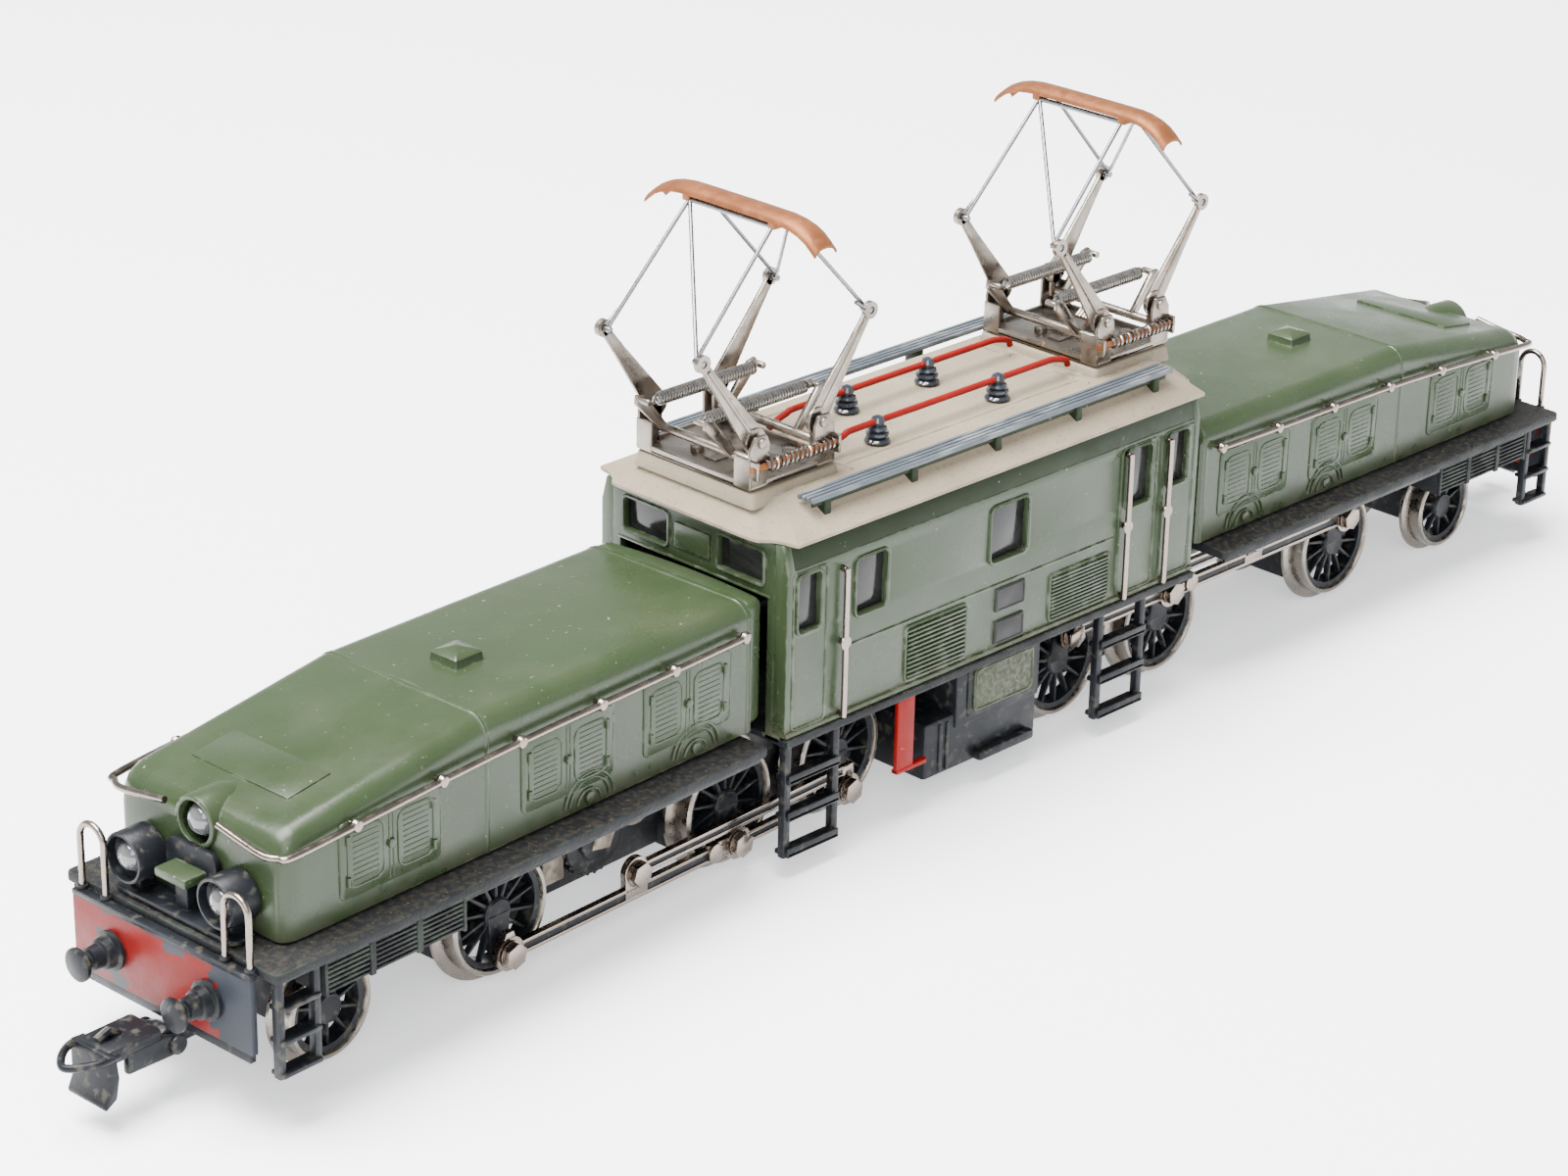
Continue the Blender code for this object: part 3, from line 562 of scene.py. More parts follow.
# A darker, duller copy of the green paint: painted shade on the slanted band under the eave and on the
# walkway brackets.
finish("green_painted_shade", tinted(GREEN, 0.55), 0.4, shine=0.1, vary=0.14, layers=(
    (patches(0.7, 0.74, 0.79, None, 2), PALE, 0.6, 0),))
finish("roof", (0.225, 0.186, 0.132), 0.62, shine=0.2, vary=0.08, size=11, bump=0.16, layers=(
    (patches(7, 0.45, 0.75, 0.5), (0.15, 0.128, 0.095), 0.75, 0),
    (patches(0.5, 0.6, 0.7, 0.45, 2), (0.10, 0.085, 0.06), 0.8, 0),
    (worn(2.5, 0.5, 0.6, 0.6, 0.5), (0.36, 0.34, 0.30), 0.6, 0)))
finish("black", (0.006, 0.007, 0.009), 0.38, vary=0.3, bump=0.1, shine=0.16, layers=(
    (worn(1.6, 0.42, 0.62, 0.5, 0.35), (0.045, 0.052, 0.046), 0.5, 0),
    (patches(1.5, 0.56, 0.68, 0.25), DUST_AND_TOP_SHEEN, 0.8, 0)))
finish("board", (0.008, 0.009, 0.010), 0.55, vary=0.3, bump=0.3, shine=0.14, bump_size=0.45, layers=(
    (facing_up(0.8, 0.45, 0.62, 0.4), GRIME, 0.85, 0),
    (facing_up(0.5, 0.66, 0.72, 0.8), (0.15, 0.13, 0.085), 0.9, 0),
    (worn(3.2, 0.48, 0.58, 0.8, 0.5), (0.045, 0.062, 0.042), 0.5, 0)))
finish("nickel", (0.215, 0.18, 0.154), 0.2, 1.0, vary=0.06, size=4, layers=(
    (patches(2.2, 0.5, 0.75, 0.35), (0.20, 0.16, 0.115), 0.5, 0.8),))
finish("tyre", (0.19, 0.172, 0.152), 0.26, 1.0, vary=0.08, size=3, layers=(
    (patches(1.3, 0.45, 0.65, 0.45), (0.22, 0.18, 0.13), 0.6, 0.5),))
finish("panto", (0.22, 0.192, 0.163), 0.3, 1.0, vary=0.08, size=5, layers=(
    (patches(2.6, 0.5, 0.72, 0.5), (0.15, 0.125, 0.10), 0.6, 0.6),
    (patches(0.9, 0.68, 0.74, None, 2), (0.30, 0.09, 0.04), 0.8, 0)))
finish("wire", (0.17, 0.172, 0.18), 0.26, 1.0, vary=0.08, size=3)
finish("spring", (0.24, 0.225, 0.21), 0.28, 1.0, vary=0.12, size=2)
finish("copper", (0.17, 0.06, 0.022), 0.42, 0.45, shine=0.15, vary=0.12, size=4, layers=(
    (patches(1.4, 0.52, 0.7, 0.45), (0.24, 0.10, 0.05), 0.6, 0.4),))
finish("red", (0.17, 0.005, 0.004), 0.4, shine=0.12, vary=0.1, size=3, layers=(
    (patches(1.2, 0.7, 0.75, None, 2), (0.30, 0.05, 0.03), 0.5, 0),))
finish("beam", (0.12, 0.007, 0.006), 0.36, shine=0.12, vary=0.08, size=5, layers=(
    (patches(5.0, 0.585, 0.6, None, 6), (0.03, 0.034, 0.04), 0.4, 0),
    (bare_end(-10.4, 2.6), (0.018, 0.021, 0.027), 0.36, 0),
    (worn(3, 0.35, 0.5, None, 0.9, 0.01, 0.1), (0.02, 0.024, 0.03), 0.4, 0)))
finish("walkway", (0.058, 0.07, 0.084), 0.5, shine=0.3, vary=0.12, size=3, layers=(
    (patches(1.2, 0.55, 0.65, 0.6, 4, (0.2, 1, 1)), (0.17, 0.18, 0.18), 0.7, 0),))
finish("insulator", (0.014, 0.017, 0.024), 0.16, coat=0.6, vary=0.3, size=2)
finish("pane", (0.010, 0.010, 0.010), 0.16, shine=0.3, vary=0.5, size=5, bump=0.02)
finish("motor", (0.20, 0.17, 0.13), 0.5, 0.7, vary=0.3, size=3, layers=(
    (patches(2, 0.45, 0.6, 0.8), (0.04, 0.03, 0.022), 0.6, 0.2),))
clear_finish("bulb", (0.085, 0.088, 0.092), 0.03)
# Near-black and matte. It is the side plates' own colour, and painted shade on the disc at the back of
# the top lamp's hole.
finish("black_plate_and_recess_shade", (0.012, 0.012, 0.012), 0.7, vary=0.3)


# Trucks

def hood_ring(x, half, bottom, top, rounding):
    """One cross-section of the hood, from the bottom over its rounded shoulders."""
    shoulder = []
    for step in range(7):
        a = math.radians(15 * step)
        shoulder.append((half - rounding + rounding * math.cos(a),
                         top - rounding + rounding * math.sin(a)))
    return ([(x, -half, bottom), (x, half, bottom)] + [(x, y, z) for y, z in shoulder]
            + [(x, -y, z) for y, z in reversed(shoulder)])


def slope_z(x):
    share = min(max((x - NOSE_X - 1.2) / (BAND_X - NOSE_X - 1.2), 0), 1)
    return NOSE_TOP + (HOOD_TOP - NOSE_TOP) * share


def hood(unit):
    nose = ((0.0, 1.5, 3.3), (0.25, 0.9, 2.2), (0.8, 0.4, 1.2), (1.6, 0.12, 0.5), (3.0, 0.0, 0.1))
    rings = [hood_ring(NOSE_X + d, HOOD_HALF - inset, HOOD_BOTTOM, slope_z(NOSE_X + d) - drop,
                       EDGE_ROUND) for d, inset, drop in nose]
    rings += [hood_ring(x, HOOD_HALF - inset, HOOD_BOTTOM, HOOD_TOP - drop, EDGE_ROUND)
              for x, inset, drop in ((BAND_X - 0.6, 0, 0.05), (BAND_X, 0, 0),
                                     (HOOD_END_X - 0.4, 0, 0), (HOOD_END_X, 0.4, 0.4))]
    cowl = turned("x", (0, TOP_LAMP_Z), [(NOSE_X - 0.5, 3.0), (NOSE_X - 0.4, 3.3), (-119, 3.5),
                                         (-114, 2.6), (-113, 1.2)], 36)
    hole = disc("x", (0, TOP_LAMP_Z), 2.65, (NOSE_X - 2, -118.5), 36)
    made = Piece(unit, "hood_shell", "green_hood", "black_plate_and_recess_shade")
    made.add(carved(loft(rings), hole))
    made.add(carved(cowl, hole), 0.12)
    # Near-black disc at the back of the lamp hole: painted shade of the recess.
    made.add(disc("x", (0, TOP_LAMP_Z), 2.7, (-118.7, -118.4), 36), 0, 1)
    made.add(box((HOOD_END_X - 0.6, -40.6), (-11.5, 11.5), (HOOD_BOTTOM + 0.3, 36.3)), 0.5)
    arc = [(-41.1 - 0.9 * (i / 6) ** 2, 13.5 * i / 6) for i in range(-6, 7)]
    neck = [(HOOD_END_X - 0.8, -13.6)] + arc + [(HOOD_END_X - 0.8, 13.6)]
    made.add(prism(neck, "z", HOOD_BOTTOM + 0.2, HOOD_TOP - 0.35), 1.1, 0, 3)
    for x in (BAND_X, HOOD_END_X - 1.0):
        ridge = [hood_ring(x + d, HOOD_HALF + up, HOOD_BOTTOM, HOOD_TOP + up, EDGE_ROUND + 0.2)
                 for d, up in ((-0.45, -0.05), (-0.2, 0.13), (0.2, 0.13), (0.45, -0.05))]
        made.add(loft(ridge))
    block = ((2.5, -0.2), (2.35, 0.1), (2.25, 1.0), (2.0, 1.25), (0.15, 1.75))
    made.add(loft([[(x, y, HOOD_TOP + up) for x, y in rounded((-82 - a, -a), (-82 + a, a), a * 0.14)]
                   for a, up in block]))
    plate = [(x, y, slope_z(x) + up) for x in (-116.4, -109.8) for y in (-8.3, 8.3)
             for up in (-0.4, 0.14)]
    sides = [[0, 1, 3, 2], [4, 6, 7, 5], [0, 4, 5, 1], [2, 3, 7, 6], [0, 2, 6, 4], [1, 5, 7, 3]]
    made.add((plate, sides), 0.12)
    for side in (-1, 1):
        wall = side * HOOD_HALF
        for x0, x1, z0, z1 in DOORS:
            sheet = rounded((x0, z0), (x1, z1), 0.9)
            made.add(prism(sheet, "y", wall - side * 0.3, wall + side * 0.16), 0.12)
            made.add(bead((x0 + 0.2, x1 - 0.2), (z0 + 0.2, z1 - 0.2), wall + side * 0.1, 0.13, 0.9))
            mid = (x0 + x1) / 2
            for a, b in ((x0 + 1.3, mid - 1.1), (mid + 1.1, x1 - 1.3)):
                made.add(bead((a, b), (z0 + 1.4, z1 - 1.4), wall + side * 0.15, 0.16, 1.2))
                for z in spaced(z0 + 2.2, z1 - 2.2, 9):
                    made.add(box((a + 0.8, b - 0.8), (wall, wall + side * 0.24),
                                 (z - 0.12, z + 0.12)), 0.08)
                hinge = a if a < mid - 2 else b
                for z in (z0 + 2.4, z1 - 2.4):
                    made.add(tube([(hinge, wall + side * 0.25, z + end) for end in (-0.6, 0.6)], 0.3))
            for x in (mid - 0.3, mid + 0.3):
                made.add(tube([(x, wall + side * 0.16, z) for z in (z0 + 0.6, z1 - 0.6)], 0.1, 6))
            made.add(disc("y", (mid, (z0 + z1) / 2), 0.6, (wall, wall + side * 0.55), 16), 0.12)
        for x in DOMES:
            for radius, thick in ((4.2, 0.2), (3.4, 0.15), (2.0, 0.17)):
                arc = [(x + radius * math.cos(math.radians(a)), wall + side * 0.12,
                        HOOD_BOTTOM + 0.4 + radius * math.sin(math.radians(a))) for a in range(4, 177, 8)]
                made.add(tube(arc, thick, 8))
            made.add(disc("y", (x, HOOD_BOTTOM + 1.3), 0.75, (wall, wall + side * 0.45), 20), 0.15)
    made.done("truck", "green_paint", "hood")


def handrail(unit, word, side):
    corner = NOSE_X + 1.2
    around = [(corner - 0.3, RAIL_Y - 0.3, 33.1), (corner - 1.5, RAIL_Y - 1.4, 33.0),
              (NOSE_X - 1.0, RAIL_Y - 3.2, 33.0), (NOSE_X - 0.9, 8.5, 33.4), (NOSE_X - 0.8, 4.6, 34.0)]
    route = [(x, side * y, z) for x, y, z in [(x, RAIL_Y, z) for x, z in KNOBS] + around]
    made = Piece(unit, f"rail_{word}", "nickel")
    made.add(tube(curve(route, 5), RAIL_R, 12))
    stem = [(HOOD_HALF - 0.2, 0.35), (RAIL_Y - 0.5, 0.35), (RAIL_Y - 0.4, 0.7), (RAIL_Y, 0.85),
            (RAIL_Y + 0.45, 0.65), (RAIL_Y + 0.6, 0.2)]
    for knob in KNOBS:
        made.add(turned("y", knob, flipped(side, stem), 18))
    made.done("truck", "nickel", f"handrail_{word}")


def louvred_box(made, x0, x1, ys, z0, z1):
    """A black box under the running board, its outer face closed by slats in three panels."""
    y = ys[1]
    side = 1 if y > 0 else -1
    made.add(box((x0, x1), ys, (z0, z1)), 0.2)
    width = (x1 - x0) / 3
    for panel in range(3):
        a, b = x0 + panel * width + 0.5, x0 + (panel + 1) * width - 0.5
        for z in spaced(z0 + 0.5, z1 - 0.5, 7):
            made.add(box((a, b), (y - side * 0.1, y + side * 0.4), (z - 0.18, z + 0.18)), 0.1)
        for x in (a - 0.3, b + 0.3):
            made.add(box((x - 0.22, x + 0.22), (y - side * 0.1, y + side * 0.5), (z0, z1)), 0.1)


def truck_frame(unit):
    made = Piece(unit, "frame", "board", "black")
    outline = rounded((BOARD_X[0], -BOARD_HALF), (BOARD_X[1], BOARD_HALF), 0.8)
    made.add(prism(outline, "z", *BOARD_Z), 0.25)
    for side in (-1, 1):
        made.add(box((-98, -47), on(side, 17.3, 17.9), (19.4, 20.4)), 0.15, 1)
        louvred_box(made, -120.0, -98.0, on(side, 12.6, 17.5), 15.6, 20.3)
        for x in (-127.0, -121.6):
            made.add(box((x, x + 1.0), on(side, 16.6, 17.8), (7.6, 20.4)), 0.2, 1)
        for z in (7.8, 12.0, 16.2):
            made.add(box((-126.8, -120.8), on(side, 15.9, 18.2), (z, z + 0.6)), 0.18, 1)
        made.add(box((-97.5, -91.5), on(side, 9.8, 10.4), (17.6, 20.2)), 0.15, 1)
    for x, half, z, soft in (((-92, -77), 6, (4.5, 20.8), 0.4), ((-51, -12.5), 6, (4.5, 18.6), 0.4),
                             ((-51, -46.4), 6, (18, 20.8), 0.3), ((-100, -91), 5, (14.6, 20.6), 0.3),
                             ((-123.4, -119.9), 2.2, (9.6, 20.6), 0.3)):
        made.add(box(x, (-half, half), z), soft, 1)
    made.add(disc("z", (PIVOT_X, 0), 3.0, (18, 23.5)), 0.3, 1)
    made.done("truck", "black_paint", "truck_frame")


def motor(unit):
    made = Piece(unit, "motor_unit", "motor", "black", "copper")
    made.add(box((-75.6, -52.4), (-5.7, 5.7), (6.0, 22.4)), 0.4, 1)
    made.add(box((-76.2, -51.8), (-9.0, 9.0), (22.2, 32.6)), 0.5)
    for side in (-1, 1):
        made.add(disc("y", (-65.5, 12.6), 5.4, on(side, 5.6, 7.4), 40), 0.3, 1)
        for i in range(28):
            tooth = 2 * math.pi * i / 28
            at = (-65.5 + 5.4 * math.cos(tooth), 12.6 + 5.4 * math.sin(tooth))
            made.add(disc("y", at, 0.32, on(side, 5.9, 7.1), 6, tooth), 0, 1)
        made.add(disc("y", (-65.5, 12.6), 3.4, on(side, 7.3, 8.2), 36), 0.3, 1)
        arm = [(-67.4, 11.2), (-64.2, 10.6), (-61.4, 16.6), (-64.4, 18.4)]
        made.add(prism(arm, "y", *on(side, 8.1, 8.5)), 0.12)
        made.add(disc("y", (-63.6, 15.4), 1.3, on(side, 8.4, 8.8), 24), 0.12, 2)
        made.add(disc("y", (-57.4, 14.0), 3.4, on(side, 5.6, 6.6), 28), 0.3)
        made.add(box((-74.4, -70.6), on(side, 5.6, 6.8), (8.0, 17.0)), 0.3)
    made.done("truck", "steel", "motor")


def wheel(made, x, z, side, tread, flange, spokes, hub):
    """One spoked wheel: a bright tyre, black rim, spokes and boss."""
    inner = tread - 1.5
    ring = [(WHEEL_IN, flange - 0.3), (WHEEL_IN + 0.3, flange), (FLANGE_OUT - 0.2, flange),
            (FLANGE_OUT, flange - 0.3), (FLANGE_OUT + 0.2, tread), (WHEEL_OUT - 0.2, tread - 0.02),
            (WHEEL_OUT, tread - 0.2), (WHEEL_OUT, tread - 0.65), (WHEEL_OUT - 0.35, inner + 0.6),
            (WHEEL_IN + 0.2, inner + 0.6)]
    rim = [(WHEEL_IN + 0.3, inner + 0.7), (WHEEL_OUT - 0.4, inner + 0.7),
           (WHEEL_OUT - 0.55, inner - 0.1), (WHEEL_IN + 0.4, inner - 0.1)]
    for look, profile in enumerate((ring, rim)):
        made.add(turned("y", (x, z), flipped(side, profile), 56, True), 0, look)
    for i in range(spokes):
        a = 2 * math.pi * (i + 0.5) / spokes
        along, across = Vector((math.cos(a), 0, math.sin(a))), Vector((-math.sin(a), 0, math.cos(a)))
        centre = Vector((x, 0, z))
        rings = []
        for radius, half, depth in ((hub * 0.7, 0.46, 1.15), (inner + 0.2, 0.24, 0.8)):
            face = side * (WHEEL_OUT - 0.75)
            back = face - side * depth
            rings.append([tuple(centre + along * radius + across * u + Vector((0, v, 0)))
                          for u, v in ((-half, back), (half, back), (half * 0.55, face),
                                       (-half * 0.55, face))])
        made.add(loft(rings), 0.06, 1)
    boss = [(WHEEL_IN + 0.4, hub), (WHEEL_OUT - 0.6, hub), (WHEEL_OUT - 0.3, hub - 0.3),
            (WHEEL_OUT - 0.3, AXLE_R + 0.3), (WHEEL_OUT - 0.45, AXLE_R), (WHEEL_OUT - 0.45, 0.1)]
    made.add(turned("y", (x, z), flipped(side, boss), 36), 0, 1)


def driver(unit, number, x):
    made = Piece(unit, f"driver_{number}", "tyre", "black", "nickel")
    made.add(disc("y", (x, DRIVER_Z), AXLE_R, (-WHEEL_IN - 1, WHEEL_IN + 1), 24), 0, 2)
    for side in (-1, 1):
        wheel(made, x, DRIVER_Z, side, DRIVER_R, DRIVER_FLANGE, 14, 2.15)
        z = DRIVER_Z + side * CRANK
        web = [(x - 1.9, DRIVER_Z), (x + 1.9, DRIVER_Z), (x + 1.5, z), (x, z + side * 1.5), (x - 1.5, z)]
        made.add(prism(web, "y", *on(side, WHEEL_OUT - 1.4, WHEEL_OUT - 0.3)), 0.2, 1)
        made.add(disc("y", (x, z), PIN_R, on(side, WHEEL_OUT - 0.6, NUT_Y[0]), 20), 0, 2)
        made.add(disc("y", (x, z), 1.75, on(side, ROD_Y[1] + 0.1, NUT_Y[0] + 0.1), 24), 0.06, 2)
        made.add(disc("y", (x, z), 1.75, (side * NUT_Y[0], side * NUT_Y[1]), 6, 0.35), 0.09, 2)
    made.done(f"driving_wheelset_{number}", "nickel", f"driving_wheelset_{number}")


def pony(unit):
    made = Piece(unit, "pony_bogie", "black")
    made.add(box((-115.5, -108.5), (-5.8, 5.8), (4.6, 12.0)), 0.5)
    made.add(box((-110, -94), (-2.6, 2.6), (9.6, 11.8)), 0.4)
    made.add(disc("z", (-96.0, 0), 2.6, (9.5, 14.2)), 0.3)
    made.done("pony_frame", "black_paint", "pony_frame")
    made = Piece(unit, "pony_wheels", "tyre", "black", "nickel")
    made.add(disc("y", (PONY_X, PONY_Z), AXLE_R, (-WHEEL_IN - 1, WHEEL_IN + 1), 24), 0, 2)
    for side in (-1, 1):
        wheel(made, PONY_X, PONY_Z, side, PONY_R, PONY_FLANGE, 10, 2.0)
    made.done("pony_wheelset", "nickel", "pony_wheelset")


def fluted(made, start, end, z, half, side):
    """A bright bar with a black groove along its outer face."""
    y0, y1 = on(side, *ROD_Y)
    made.add(box((start, end), (y0, y1 - side * 0.25), (z - half, z + half)), 0.08)
    for edge in (-1, 1):
        made.add(box((start, end), (y1 - side * 0.4, y1),
                     (z + edge * half, z + edge * (half - 0.48))), 0.06)
    groove = half - 0.46
    made.add(box((start + 0.6, end - 0.6), (y1 - side * 0.3, y1 - side * 0.16),
                 (z - groove, z + groove)), 0.03, 1)


def side_rod(unit, word, side):
    z = DRIVER_Z + side * CRANK
    first, second, third = DRIVERS
    span = on(side, *ROD_Y)
    made = Piece(unit, f"rods_{word}", "nickel", "black")
    fluted(made, first + 1.8, second - 1.8, z, 0.95, side)
    fluted(made, second + 1.8, third - 1.8, z, 0.8, side)
    fluted(made, EAR_X + 1.8, third - 1.0, z + EAR_UP + 0.05, 0.8, side)
    for x in DRIVERS:
        made.add(eye((x, z), span, 2.25, PIN_R + 0.25, 36))
        if x != second:
            tab = [(x - 1.0, z + 1.9), (x + 1.0, z + 1.9), (x + 0.6, z + 3.0), (x - 0.6, z + 3.0)]
            made.add(prism(tab, "y", *span), 0.15)
    made.add(disc("y", (second - 4.4, z + 0.2), 1.3, on(side, ROD_Y[1] - 0.3, ROD_Y[1] + 0.35)), 0.15)
    made.add(box((second - 5.6, second - 1.6), span, (z - 1.4, z + 1.5)), 0.5)
    made.add(disc("y", (EAR_X, z + EAR_UP), 2.1, span, 36), 0.15)
    ear = [(EAR_X - 2.0, z - 0.6), (EAR_X + 2.0, z - 0.6), (EAR_X + 2.0, z + EAR_UP),
           (EAR_X - 2.0, z + EAR_UP)]
    made.add(prism(ear, "y", *span), 0.1)
    made.add(disc("y", (EAR_X, z + EAR_UP), 1.65, (span[1] - side * 0.2, side * NUT_Y[0]), 24), 0.06)
    made.add(disc("y", (EAR_X, z + EAR_UP), 1.7, (side * NUT_Y[0], side * NUT_Y[1]), 6, 0.2), 0.09)
    made.add(box((third - 1.2, third + 1.2), span, (z + 1.4, z + EAR_UP + 0.8)), 0.3)
    made.done(f"side_rod_{word}", "nickel", f"side_rod_{word}")


def buffer_beam(unit):
    made = Piece(unit, "beam", "beam", "black", "nickel")
    low, high = BEAM_Z
    made.add(box((BEAM_X, BEAM_X + 0.9), (-BEAM_HALF, BEAM_HALF), (low + 1.2, high)), 0.12)
    made.add(box((BEAM_X + 0.1, BEAM_X + 1.0), (-BEAM_HALF + 0.5, BEAM_HALF - 0.5), (low, low + 1.5)),
             0.15, 1)
    made.add(box((BEAM_X - 0.1, BEAM_X + 1.2), (-BEAM_HALF, BEAM_HALF), (high - 0.5, high + 0.2)),
             0.15, 1)
    x = BEAM_X + 0.9
    for side in (-1, 1):
        centre, spread, top = side * 12.5, 2.1, 27.6
        bend = [math.pi * (1 - step / 12) for step in range(1, 12)]
        route = [(x, centre - spread, high - 0.6), (x, centre - spread, top)]
        route += [(x, centre + spread * math.cos(a), top + spread * math.sin(a)) for a in bend]
        route += [(x, centre + spread, top), (x, centre + spread, high - 0.6)]
        made.add(tube(route, 0.42, 12), 0, 2)
        for y in (centre - spread, centre + spread):
            made.add(disc("z", (x, y), 0.7, (high + 0.1, high + 0.7), 16), 0.1, 1)
    made.done("truck", "red_paint", "buffer_beam")
    for side, word in BOTH_SIDES:
        profile = [(-129.3, 2.5), (-129.7, 2.5), (-129.9, 2.0), (-131.0, 1.85), (-131.2, 1.5),
                   (-132.6, 1.4), (-132.8, 1.0), (-133.6, 0.95), (-133.75, 1.9), (-134.0, 2.1),
                   (-134.4, 2.1), (-134.6, 1.8), (-134.65, 0.1)]
        shape = turned("x", (side * BUFFER_Y, BUFFER_Z), profile, 36)
        made = Piece(unit, f"bumper_{word}", "black")
        made.add(shape).done("truck", "black_paint", f"buffer_{word}")


def lamps(unit):
    made = Piece(unit, "lamps", "black", "green_hood", "nickel", "bulb", "black_plate_and_recess_shade")
    tray = rounded((-127.0, -10.6), (-123.1, 10.6), 1.2)
    made.add(prism(tray, "z", 21.8, 22.5), 0.2)
    back = rounded((-4.4, 22.2), (4.4, 30.0), 1.6)
    made.add(prism(back, "x", -124.0, -123.1), 0.15)
    made.add(box((-125.6, -123.6), (-1.1, 1.1), (22.2, 26.6)), 0.25)
    made.add(box((-127.2, -123.6), (-2.7, 2.7), (26.3, 27.5)), 0.3, 1)
    for side in (-1, 1):
        y = side * LAMP_Y
        drum = [(-123.1, LAMP_R - 0.3), (-123.4, LAMP_R), (-127.2, LAMP_R), (-127.4, LAMP_R - 0.15),
                (-127.4, LAMP_R - 0.45), (-126.2, LAMP_R - 0.5), (-124.6, 0.8), (-123.2, 0.8)]
        made.add(turned("x", (y, LAMP_Z), drum, 40, True))
        made.add(disc("x", (y, LAMP_Z), 1.5, (-124.6, -123.6), 24), 0.1, 2)
        made.add(ball((-125.6, y, LAMP_Z), 2.0, 32), 0, 3)
        made.add(box((-125.8, -123.4), on(side, 7.0, 9.0), (22.2, 24.4)), 0.25)
    made.done("truck", "black_paint", "lamp_bracket")
    made = Piece(unit, "top_bulb", "bulb", "nickel")
    made.add(ball((-121.5, 0, TOP_LAMP_Z), 2.1, 32), 0, 0)
    made.add(turned("x", (0, TOP_LAMP_Z), [(-118.9, 1.5), (-120.2, 1.5), (-120.5, 1.2)], 24), 0, 1)
    made.done("truck", "steel", "upper_lamp")


def coupler(unit):
    made = Piece(unit, "drawbar", "black")
    made.add(box((-128.4, -119.6), (-1.9, 1.9), (6.7, 8.3)), 0.35)
    made.add(disc("z", (-121.6, 0), 1.7, (6.6, 9.3)), 0.2)
    made.add(disc("y", (-129.4, 7.5), 1.6, (-1.4, 1.4)), 0.2)
    made.done("coupler_arm", "black_paint", "coupler_arm")
    made = Piece(unit, "hook", "black")
    for side in (-1, 1):
        cheek = [(-136.6, 6.4), (-128.4, 6.2), (-128.2, 8.2), (-131.0, 9.1), (-136.6, 9.1)]
        made.add(prism(cheek, "y", *on(side, 1.9, 2.9)), 0.25)
        made.add(disc("y", (-129.4, 7.5), 1.2, on(side, 2.8, 3.3), 20), 0.15)
    made.add(box((-139.2, -131.4), (-2.8, 2.8), (8.4, 10.4)), 0.5)
    claw = [(-139.8, 10.2), (-138.6, 10.2), (-138.2, 7.0), (-138.7, 4.4), (-140.4, 3.4),
            (-140.6, 3.9), (-139.8, 5.6)]
    made.add(prism(claw, "y", -3.4, 3.4), 0.25)
    loop = [(-138.0, -3.0, 9.7), (-140.4, -2.9, 9.6), (-142.4, -1.7, 9.4), (-143.5, 0, 9.2),
            (-142.4, 1.7, 9.4), (-140.4, 2.9, 9.6), (-138.0, 3.0, 9.7)]
    made.add(tube(curve(loop, 5), 0.5, 10))
    made.add(tube([(-135.5, 0, 10.2), (-137.0, 0, 11.2), (-138.6, 0, 10.6)], 0.6, 8))
    made.done("coupler_claw", "black_paint", "coupler_claw")


def truck(unit):
    truck_frame(unit)
    hood(unit)
    for side, word in BOTH_SIDES:
        handrail(unit, word, side)
        side_rod(unit, word, side)
    for i, x in enumerate(DRIVERS):
        driver(unit, i + 1, x)
    for part in (pony, buffer_beam, lamps, coupler):
        part(unit)


# Cab

